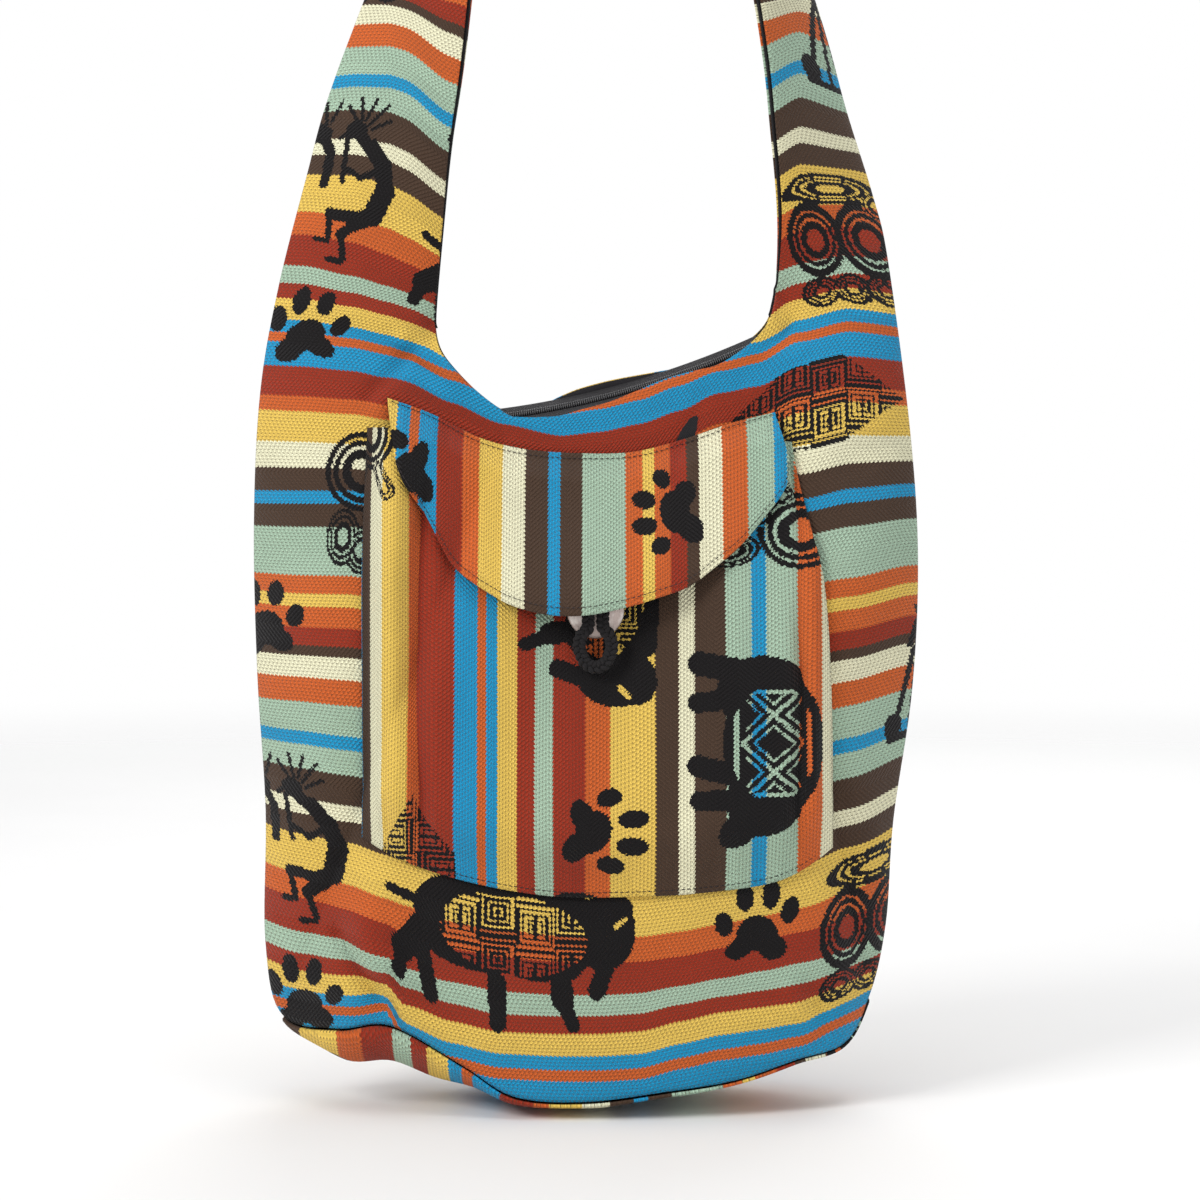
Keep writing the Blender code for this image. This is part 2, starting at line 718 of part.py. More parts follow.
def flap_points(front_tree, pocket_tree, layer_below):
    """Rows of the flap's layer, over the pocket's upper edge and its front."""
    columns, rows = FLAP_COLUMNS, FLAP_ROWS
    points = []
    for row in range(rows + 1):
        line = []
        for column in range(columns + 1):
            x, z = flap_outline(column / columns, row / rows)
            skin = skin_depth(front_tree, x, z)
            ramp = fade((flap_seam(x) - z) / POCKET_BELOW_FLAP)
            below = pocket_front(front_tree, pocket_tree, x, z)
            rest = below - FLAP_CLEARANCE - flap_lift() * button_dent(x, z) ** 0.5
            line.append(Vector((x, (skin - FLAP_SEAT) * (1 - ramp) + rest * ramp - layer_below, z)))
        points.append(line)
    return points


def pocket_front(front_tree, pocket_tree, x, z):
    """Y of the pocket's front, carried on past its own edges."""
    top = flap_seam(x) - POCKET_BELOW_FLAP - CLOTH
    height = min(z, top)
    hit = pocket_tree.ray_cast(Vector((x, -1.0, height)), Vector((0, 1, 0)))[0]
    skin = skin_depth(front_tree, x, z)
    if hit is None:
        return skin
    return min(skin, hit.y + skin - skin_depth(front_tree, x, height))


def make_flap(parent, front_tree, pocket_tree, finishes):
    """The flap's lining and its upper cloth."""
    lining = grid_object("flap_lining", flap_points(front_tree, pocket_tree, 0.0),
                         finishes["lining"], parent)
    add_wall(lining, LINING)
    upper = grid_object("flap", flap_points(front_tree, pocket_tree, FLAP_LAYER_STEP),
                        finishes["flap"], parent)
    add_wall(upper, FLAP_LAYER)


def make_button(parent, pocket_tree, finishes):
    """Domed button on its shank. Returns the Y of its front."""
    cloth = skin_depth(pocket_tree, BUTTON_X, BUTTON_HEIGHT)
    turned = Matrix.Rotation(math.pi / 2, 4, "X")
    shape = bmesh.new()
    bmesh.ops.create_cone(shape, cap_ends=True, segments=SHANK_SIDES, radius1=SHANK_DIAMETER / 2,
                          radius2=SHANK_DIAMETER / 2, depth=SHANK_LENGTH)
    mesh = bpy.data.meshes.new("button_shank")
    shape.to_mesh(mesh)
    shape.free()
    shank = link("button_shank", mesh, finishes["thread"], parent)
    shank.matrix_local = Matrix.Translation(
        (BUTTON_X, cloth - SEWN_GAP - SHANK_LENGTH / 2, BUTTON_HEIGHT)) @ turned

    back = cloth - SEWN_GAP - SHANK_LENGTH - TOUCH
    radius = BUTTON_DIAMETER / 2
    profile = [(0.0, BUTTON_THICKNESS)]
    for step in range(1, BUTTON_DOME_STEPS + 1):
        angle = math.pi / 2 * step / BUTTON_DOME_STEPS
        profile.append((radius * math.sin(angle),
                        BUTTON_RIM + (BUTTON_THICKNESS - BUTTON_RIM) * math.cos(angle)))
    profile += [(radius, BUTTON_EDGE), (radius - BUTTON_EDGE, 0.0), (0.0, 0.0)]
    mesh = bpy.data.meshes.new("button")
    edges = [(index, index + 1) for index in range(len(profile) - 1)]
    mesh.from_pydata([(x, 0, z) for x, z in profile], edges, [])
    button = link("button", mesh, finishes["button"], parent)
    button.matrix_local = Matrix.Translation((BUTTON_X, back, BUTTON_HEIGHT)) @ turned
    spin = button.modifiers.new("turned", "SCREW")
    spin.steps = spin.render_steps = BUTTON_SIDES
    spin.use_merge_vertices = True
    spin.merge_threshold = 0.00001
    spin.use_smooth_shade = True
    return back - BUTTON_THICKNESS


def make_loop(parent, pocket_tree, button_front, finishes):
    """Cord loop, whose two strands leave the flap side by side and close below the button."""
    cord = LOOP_CORD / 2
    strand = cord + TOUCH
    spread = LOOP_WIDTH / 2 - cord
    top = BUTTON_HEIGHT + 0.20 * LOOP_LENGTH
    low = top - LOOP_LENGTH + cord
    half = [(strand, top), (strand, top - 0.22 * LOOP_LENGTH), (strand * 1.05, top - 0.42 * LOOP_LENGTH),
            (spread * 0.86, low + 0.40 * LOOP_LENGTH), (spread, low + 0.24 * LOOP_LENGTH),
            (spread * 0.62, low + 0.06 * LOOP_LENGTH)]
    route = [(-x, z) for x, z in half] + [(0.0, low)] + half[::-1]
    steps = LOOP_STEPS
    front = button_front - TOUCH - cord
    foot = skin_depth(pocket_tree, BUTTON_X, low) - 2 * SEWN_GAP - cord
    foot = min(foot, front)
    data = bpy.data.curves.new("flap_loop", "CURVE")
    data.dimensions = "3D"
    data.bevel_depth = cord
    data.bevel_resolution = 2
    data.use_fill_caps = True
    spline = data.splines.new("POLY")
    spline.points.add(steps)
    for step in range(steps + 1):
        place = along_points(route, step / steps)
        down = fade((top - place.y) / (top - low))
        spline.points[step].co = (BUTTON_X + place.x, front + (foot - front) * down, place.y, 1.0)
    return link_curve("flap_loop", data, finishes["cord"], parent)


def link_curve(name, data, finish, parent):
    """Put a curve in the bag's collection as a named object."""
    data.materials.append(finish)
    made = bpy.data.objects.new(name, data)
    bpy.data.collections[COLLECTION].objects.link(made)
    made.parent = parent
    return made


def make_finishes():
    """One material for each kind of cloth, tape and metal."""
    return {
        "cloth": material("striped_cloth", (0.66, 0.34, 0.14), 0.90),
        "base": material("base_cloth", (0.45, 0.20, 0.10), 0.90),
        "pocket": material("pocket_cloth", (0.70, 0.45, 0.20), 0.90),
        "flap": material("flap_cloth", (0.55, 0.60, 0.45), 0.90),
        "lining": material("black_lining", (0.02, 0.02, 0.02), 0.80),
        "tape": material("black_tape", (0.015, 0.015, 0.015), 0.75),
        "coil": material("black_nylon", (0.02, 0.02, 0.02), 0.35),
        "metal": material("blackened_metal", (0.08, 0.08, 0.08), 0.35, 1.0),
        "button": material("silvered_metal", (0.62, 0.58, 0.55), 0.30, 1.0),
        "thread": material("black_thread", (0.02, 0.02, 0.02), 0.85),
        "cord": material("black_cord", (0.02, 0.02, 0.02), 0.85),
    }


def crown_underside():
    """Height of the flat face under the strap's crown, from which the bag hangs."""
    return MOUTH_HEIGHT + STRAP_DROP - (LINING / 2 + STRAP_EASE) - STRAP_PUFF - CLOTH


def main():
    """Build the bag in order: cloth, zip, pocket, flap, button and loop."""
    for old in list(bpy.data.objects):
        bpy.data.objects.remove(old, do_unlink=True)
    bag = bpy.data.collections.new(COLLECTION)
    cutters = bpy.data.collections.new("cutters")
    bpy.context.scene.collection.children.link(bag)
    bpy.context.scene.collection.children.link(cutters)
    hanger = bpy.data.objects.new("hanging_frame", None)
    bag.objects.link(hanger)
    hanger.location = (-CROWN_X, 0, -crown_underside())

    finishes = make_finishes()
    cloths = make_panels(hanger, finishes)
    path = make_zip(hanger, finishes)
    make_slider(hanger, path, cutters, finishes)
    front_tree = evaluated_tree(cloths["front_panel"])
    pocket = make_pocket(hanger, front_tree, finishes)
    pocket_tree = evaluated_tree(pocket)
    make_flap(hanger, front_tree, pocket_tree, finishes)
    button_front = make_button(hanger, pocket_tree, finishes)
    make_loop(hanger, pocket_tree, button_front, finishes)


main()
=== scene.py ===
"""Striped cloth shoulder bag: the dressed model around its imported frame.

The bag hangs from the middle of its strap's crown, which is the origin. The front faces -Y, +X is
to the right and +Z is up. Cloth coordinates (u along the stripes, v across them) are in pattern
steps of STEP metres, and every striped piece carries them as its UV map.
"""

import logging
import math
from dataclasses import dataclass, field
from enum import Enum
from functools import reduce
from typing import Callable, Optional, Sequence, TypeVar, Union

import bmesh
import bpy
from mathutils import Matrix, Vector
from mathutils.bvhtree import BVHTree


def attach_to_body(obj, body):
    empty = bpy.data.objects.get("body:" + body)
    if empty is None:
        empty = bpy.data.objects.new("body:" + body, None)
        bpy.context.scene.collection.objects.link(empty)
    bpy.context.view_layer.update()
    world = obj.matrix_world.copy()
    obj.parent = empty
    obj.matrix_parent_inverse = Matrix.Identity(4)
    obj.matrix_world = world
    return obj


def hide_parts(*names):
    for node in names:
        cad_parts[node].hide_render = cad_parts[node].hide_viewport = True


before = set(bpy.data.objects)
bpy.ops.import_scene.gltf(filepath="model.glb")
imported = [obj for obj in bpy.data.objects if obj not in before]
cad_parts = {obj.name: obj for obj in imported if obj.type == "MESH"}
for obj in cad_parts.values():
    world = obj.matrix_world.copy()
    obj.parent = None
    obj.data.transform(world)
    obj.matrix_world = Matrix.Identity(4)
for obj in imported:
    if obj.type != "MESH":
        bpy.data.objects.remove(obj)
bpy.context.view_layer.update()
LOG = logging.getLogger("shoulder_bag")

STEP = 0.00056
REPEAT = 660.0
SHIFT_X, SHIFT_Z = 583.0, 1115.0
HANG_X, HANG_Z = -0.010, -0.8762

# Flat width, length and area of each sheet before it was sewn.
PANEL_CUT = (0.420, 0.960, 0.2325)
BASE_CUT = (0.138, 0.352, 0.0342)
LINING_CUT = (0.375, 0.430, 0.1270)
LINING_BASE_CUT = (0.115, 0.310, 0.0297)
STRAP_CUT = (0.080, 1.240, 0.0546)
TAPE_CUT = (0.016, 0.176, 0.0027)
POCKET_CUT = (0.285, 0.275, 0.0695)
FLAP_CUT = (0.232, 0.128, 0.0206)

Point = tuple[float, float]
Colour = tuple[float, float, float]
Value = TypeVar("Value", float, Vector)


def linear(red: float, green: float, blue: float) -> Colour:
    """Scene-linear colour of a display colour given from 0 to 255.

    Args:
        red, green, blue: the display colour.

    Returns:
        The same colour for a shader socket.
    """
    def channel(value: float) -> float:
        """One channel without its display curve."""
        value /= 255
        return value / 12.92 if value <= 0.04045 else ((value + 0.055) / 1.055) ** 2.4

    return channel(red), channel(green), channel(blue)


def fade(value: float) -> float:
    """Smooth step from 0 to 1."""
    value = min(max(value, 0.0), 1.0)
    return value * value * (3 - 2 * value)


def smooth_value(before: Value, start: Value, end: Value, after: Value, share: float) -> Value:
    """Catmull-Rom value between start and end, for numbers and vectors alike.

    Args:
        before, start, end, after: four values in a row.
        share: place from start, 0, to end, 1.

    Returns:
        The value there.
    """
    return 0.5 * (
        2 * start
        + (end - before) * share
        + (2 * before - 5 * start + 4 * end - after) * share ** 2
        + (3 * start - before - 3 * end + after) * share ** 3
    )


def along_points(points: Sequence[Sequence[float]], share: float) -> Vector:
    """Smooth curve through given points.

    Args:
        points: the points, in order.
        share: place on the curve, from 0 to 1, by the points' count.

    Returns:
        The point at that share.
    """
    place = share * (len(points) - 1)
    index = min(int(place), len(points) - 2)
    first = Vector(points[max(index - 1, 0)])
    last = Vector(points[min(index + 2, len(points) - 1)])
    return smooth_value(first, Vector(points[index]), Vector(points[index + 1]), last, place - index)


def straight_value(edge: Sequence[Point], place: float) -> float:
    """Second value of an edge's points at a first value, by straight steps.

    Args:
        edge: pairs of a first and a second value, in order.
        place: the first value.

    Returns:
        The second value.
    """
    for (left, low), (right, high) in zip(edge, edge[1:]):
        if place <= right:
            return low + (high - low) * (place - left) / (right - left)
    (left, low), (right, high) = edge[-2:]
    return high + (high - low) * (place - right) / (right - left)


def operator(operation: str, turned: bool = False) -> Callable[..., "Wire"]:
    """A method of Wire that adds one Math node.

    Args:
        operation: the node's operation.
        turned: whether the wire is the second value.

    Returns:
        The method.
    """
    def method(self: "Wire", *others: "Number") -> "Wire":
        """The operation's result."""
        values = (*others, self) if turned else (self, *others)
        return self.graph.math(operation, *values)

    return method


@dataclass(frozen=True)
class Wire:
    """A number on its way through a node tree, with Python's operators as Math nodes."""

    graph: "Graph"
    socket: bpy.types.NodeSocket

    __add__ = __radd__ = operator("ADD")
    __sub__ = operator("SUBTRACT")
    __rsub__ = operator("SUBTRACT", turned=True)
    __mul__ = __rmul__ = operator("MULTIPLY")
    __truediv__ = operator("DIVIDE")
    __rtruediv__ = operator("DIVIDE", turned=True)
    __abs__ = operator("ABSOLUTE")
    __lt__ = operator("LESS_THAN")
    __gt__ = operator("GREATER_THAN")
    __mod__ = operator("FLOORED_MODULO")
    snapped = operator("SNAP")
    bounce = operator("PINGPONG")
    sine = operator("SINE")
    least = operator("MINIMUM")
    most = operator("MAXIMUM")

    def ease(self, low: float, high: float, start: float = 0.0, end: float = 1.0) -> "Wire":
        """Smooth change from start to end between two values of this wire."""
        node = self.graph.node("ShaderNodeMapRange", {"interpolation_type": "SMOOTHSTEP"},
                               {0: self, 1: low, 2: high, 3: start, 4: end})
        return Wire(self.graph, node.outputs[0])


Number = Union[Wire, float]
Paint = Union[Colour, bpy.types.NodeSocket]


class Graph:
    """The node tree of one material, or of the world."""

    def __init__(self, tree: bpy.types.NodeTree) -> None:
        """Take an empty tree over."""
        self.tree = tree

    def node(self, kind: str, settings: Optional[dict] = None,
             inputs: Optional[dict] = None) -> bpy.types.Node:
        """Add a node.

        Args:
            kind: the node's type.
            settings: the node's own properties, set first. stops fills a colour ramp.
            inputs: values or links, by socket name or number.

        Returns:
            The new node.
        """
        made = self.tree.nodes.new(kind)
        for name, value in (settings or {}).items():
            if name == "stops":
                self.fill_ramp(made.color_ramp, value)
            else:
                setattr(made, name, value)
        for name, value in (inputs or {}).items():
            if isinstance(value, Wire):
                value = value.socket
            if isinstance(value, bpy.types.NodeSocket):
                self.tree.links.new(value, made.inputs[name])
            elif isinstance(value, tuple) and made.inputs[name].type == "RGBA":
                made.inputs[name].default_value = (*value, 1.0)
            else:
                made.inputs[name].default_value = value
        return made

    @staticmethod
    def fill_ramp(ramp: bpy.types.ColorRamp, stops: Sequence[tuple[float, Colour]]) -> None:
        """Give a ramp flat bands of colour, each from its own place to the next.

        Args:
            ramp: the colour ramp.
            stops: each band's start and colour.
        """
        ramp.interpolation = "CONSTANT"
        while len(ramp.elements) < len(stops):
            ramp.elements.new(1.0)
        for element, (place, _) in zip(ramp.elements, stops):
            element.position = place
        for element, (_, colour) in zip(ramp.elements, stops):
            element.color = (*colour, 1.0)

    def math(self, operation: str, *values: Number) -> Wire:
        """One Math node on numbers or wires."""
        node = self.node("ShaderNodeMath", {"operation": operation}, dict(enumerate(values)))
        return Wire(self, node.outputs[0])

    def dot(self, vector: bpy.types.NodeSocket, weights: Sequence[float]) -> Wire:
        """Dot product of a vector link and three numbers."""
        node = self.node("ShaderNodeVectorMath", {"operation": "DOT_PRODUCT"},
                         {0: vector, 1: tuple(weights)})
        return Wire(self, node.outputs["Value"])

    def mix(self, factor: Number, first: Paint, second: Paint,
            blend: str = "MIX") -> bpy.types.NodeSocket:
        """Mix two colours, the second at full where the factor is 1."""
        node = self.node("ShaderNodeMix", {"data_type": "RGBA", "blend_type": blend},
                         {0: factor, 6: first, 7: second})
        return node.outputs[2]

    def join(self, u: Number, v: Number, w: Number = 0.0) -> bpy.types.NodeSocket:
        """One vector of three numbers."""
        return self.node("ShaderNodeCombineXYZ", None, {0: u, 1: v, 2: w}).outputs[0]

    def noise(self, vector: bpy.types.NodeSocket, scale: float, detail: float = 2.0) -> Wire:
        """Soft noise around 0.5."""
        node = self.node("ShaderNodeTexNoise", None,
                         {"Vector": vector, "Scale": scale, "Detail": detail})
        return Wire(self, node.outputs[0])

    def place(self, source: str = "Object") -> tuple[bpy.types.NodeSocket, Wire, Wire, Wire]:
        """A texture coordinate as one vector and its three numbers.

        Args:
            source: the coordinate's name.

        Returns:
            The vector, then its three numbers.
        """
        vector = self.node("ShaderNodeTexCoord").outputs[source]
        parts = self.node("ShaderNodeSeparateXYZ", None, {0: vector}).outputs
        return vector, *(Wire(self, part) for part in parts)

    def surface(self, colour: Paint, roughness: Number, height: Optional[Wire] = None,
                depth: float = 0.0004, **constants: float) -> None:
        """End the tree in a Principled shader.

        Args:
            colour: base colour.
            roughness: roughness.
            height: bump height from 0 to 1, or nothing.
            depth: metres that a height of 1 stands for.
            constants: other sockets, with spaces as underscores.
        """
        inputs = {"Base Color": colour, "Roughness": roughness}
        inputs.update({name.replace("_", " "): value for name, value in constants.items()})
        if height is not None:
            bump = self.node("ShaderNodeBump", None,
                             {"Strength": 1.0, "Distance": depth, "Height": height})
            inputs["Normal"] = bump.outputs[0]
        shader = self.node("ShaderNodeBsdfPrincipled", None, inputs)
        self.node("ShaderNodeOutputMaterial", None, {"Surface": shader.outputs[0]})


def new_material(name: str) -> tuple[bpy.types.Material, Graph]:
    """An empty material and its tree.

    Args:
        name: the material's name.

    Returns:
        The material and its graph.
    """
    made = bpy.data.materials.new(name)
    made.use_nodes = True
    made.node_tree.nodes.clear()
    return made, Graph(made.node_tree)


class Yarn(Enum):
    """Colours of the yarn, as display colours."""

    CREAM = (246, 242, 205)
    YELLOW = (244, 205, 96)
    ORANGE = (216, 103, 46)
    RUST = (160, 52, 30)
    SAGE = (176, 203, 177)
    BLUE = (32, 156, 206)
    BROWN = (76, 57, 44)
    BLACK = (20, 17, 18)

    @property
    def paint(self) -> Colour:
        """The colour for a shader socket."""
        return linear(*self.value)


C, Y, O, R, S, B, W = (Yarn.CREAM, Yarn.YELLOW, Yarn.ORANGE, Yarn.RUST, Yarn.SAGE, Yarn.BLUE,
                       Yarn.BROWN)
STRIPES = (
    (0, C), (18, O), (40, S), (68, B), (80, S), (104, W), (133, C), (147, W), (170, Y), (207, O),
    (230, R), (262, S), (280, R), (296, Y), (315, B), (328, O), (340, B), (366, R), (396, O),
    (410, Y), (443, C), (468, W), (491, B), (505, W), (527, S), (576, O), (593, Y), (608, O),
    (628, R), (647, W), (655, C),
)


@dataclass(frozen=True)
class Oval:
    """A filled ellipse of a woven figure, in pattern steps."""

    u: float
    v: float
    long: float
    short: float
    turn: float = 0.0


@dataclass(frozen=True)
class Bar:
    """A round-ended bar of a woven figure, from one point to another."""

    start: Point
    end: Point
    radius: float


Shape = Union[Oval, Bar]


class Figure:
    """Draws woven figures: every shape is a value below 1 inside and above 1 outside."""

    def __init__(self, graph: Graph, u: Wire, v: Wire) -> None:
        """Take the cloth coordinates that the figures are drawn in."""
        self.graph = graph
        self.u, self.v = u, v
        self.point = graph.join(u, v, 1.0)

    def local(self, u: float, v: float, mirror: bool = False) -> "Figure":
        """The same drawing seen from a figure's own middle."""
        side = self.u - u
        return Figure(self.graph, -1.0 * side if mirror else side, self.v - v)

    def oval(self, shape: Oval) -> Wire:
        """Squared distance from an oval's middle, 1 on its edge.

        Args:
            shape: the oval.

        Returns:
            The value at every place.
        """
        cosine, sine = math.cos(shape.turn), math.sin(shape.turn)
        along = (cosine / shape.long, sine / shape.long)
        across = (-sine / shape.short, cosine / shape.short)
        a, b = (self.graph.dot(self.point, (*axis, -(shape.u * axis[0] + shape.v * axis[1])))
                for axis in (along, across))
        return self.graph.math("MULTIPLY_ADD", a, a, b * b)

    def bar(self, shape: Bar) -> Wire:
        """Squared distance from a bar's middle line, 1 on its edge.

        Args:
            shape: the bar.

        Returns:
            The value at every place.
        """
        start, end = Vector(shape.start), Vector(shape.end)
        axis, middle = (end - start).normalized() / shape.radius, (start + end) / 2
        half = (end - start).length / 2 / shape.radius
        a = self.graph.dot(self.point, (axis.x, axis.y, -middle.dot(axis)))
        normal = Vector((-axis.y, axis.x))
        b = self.graph.dot(self.point, (normal.x, normal.y, -middle.dot(normal)))
        a = (abs(a) - half).most(0.0)
        return self.graph.math("MULTIPLY_ADD", a, a, b * b)

    def field(self, shapes: Sequence[Shape]) -> Wire:
        """Lowest value of several shapes, which joins them."""
        return reduce(Wire.least, [self.bar(shape) if isinstance(shape, Bar) else self.oval(shape)
                                   for shape in shapes])

    def fill(self, shapes: Sequence[Shape]) -> Wire:
        """1 inside any of the shapes."""
        return self.field(shapes) < 1.0


PAW = (
    Oval(2, 2, 21, 17, -0.4), Oval(18, 12, 16, 11, 0.35), Oval(-13, 18, 16, 12, -0.6),
    Oval(-31, -14, 9, 13, -0.3), Oval(-12, -33, 9, 14, -0.05), Oval(14, -34, 9, 13, 0.15),
    Oval(35, -13, 9, 12, 0.4),
)
PLAYER = (
    Oval(-14, -50, 12, 9, 0.3), Bar((-24, -47), (-29, -43), 2.6), Bar((-8, -44), (6, -34), 6),
    Bar((6, -36), (24, -20), 8), Bar((24, -20), (33, 2), 9), Bar((33, 2), (28, 26), 11),
    Bar((28, 26), (12, 38), 9), Bar((14, 34), (-17, 32), 5.5), Bar((-17, 32), (-11, 56), 3.4),
    Bar((-11, 58), (-24, 59), 2.8), Bar((12, 40), (1, 50), 6), Bar((1, 50), (10, 72), 3.6),
    Bar((10, 75), (-5, 76), 3), Bar((20, -16), (4, -4), 3.4), Bar((4, -4), (-12, -12), 2.8),
    Bar((-21, -42), (-14, 0), 2.8), Bar((-16, -58), (-30, -74), 1.8), Bar((-12, -60), (-18, -82), 1.8),
    Bar((-8, -60), (-2, -82), 1.8), Bar((-4, -56), (12, -76), 1.8), Bar((0, -52), (18, -62), 1.8),
)
CROUCHED = (
    Oval(-14, -50, 12, 9, 0.3), Bar((-8, -44), (2, -30), 5), Bar((2, -30), (4, 0), 5),
    Bar((-16, -58), (-30, -74), 1.8), Bar((-12, -60), (-18, -82), 1.8), Bar((-8, -60), (-2, -82), 1.8),
)
BISON = (
    Oval(-42, -18, 60, 42, 0.04), Oval(22, -16, 64, 43), Bar((-68, -36), (54, -38), 19),
    Bar((-72, -2), (48, 6), 20), Oval(88, -20, 30, 36, 0.1), Oval(96, -42, 20, 14, 0.2),
    Bar((90, 8), (80, 34), 9), Bar((-100, -24), (-126, -28), 4.5), Bar((-96, -2), (-114, 20), 12),
    Bar((-114, 20), (-119, 44), 7), Bar((-94, 14), (-86, 54), 8), Bar((-20, 20), (-18, 64), 9),
    Bar((44, 22), (46, 42), 11), Bar((46, 42), (56, 64), 7),
)
BEAR = (
    Oval(0, -14, 78, 46), Oval(-50, -4, 36, 42), Oval(56, -4, 34, 34, 0.5), Oval(82, 16, 24, 15, 0.8),
    Bar((-72, 20), (-78, 52), 12), Bar((-44, 24), (-40, 54), 10), Bar((30, 24), (22, 54), 11),
    Bar((54, 22), (56, 52), 10), Oval(66, -32, 9, 8),
)
TOTEM = (
    Oval(-32, 6, 26, 34), Oval(24, 8, 32, 36), Oval(-2, -44, 48, 14), Oval(44, -30, 20, 18),
    Oval(-40, 58, 18, 14), Oval(-8, 60, 18, 14), Oval(26, 58, 18, 14), Oval(54, 50, 14, 16),
)
WING = (
    Oval(0, -28, 34, 38, 0.3), Oval(20, 28, 16, 34, -0.25), Oval(-20, 40, 15, 26, 0.1),
    Oval(-2, 52, 14, 22, 0.1), Bar((36, -44), (58, -60), 9), Bar((34, -8), (58, 8), 10),
    Bar((56, 6), (66, 30), 8),
)
TENT = (
    Bar((-30, 42), (-4, -46), 3), Bar((30, 42), (4, -46), 3), Bar((-12, 44), (-1, -50), 2),
    Bar((12, 44), (1, -50), 2), Bar((0, 44), (0, -20), 2), Bar((-34, 46), (34, 46), 4),
    Oval(-30, 34, 10, 12), Oval(29, 36, 9, 10), Bar((-6, -62), (4, -40), 2), Bar((6, -62), (-4, -40), 2),
)


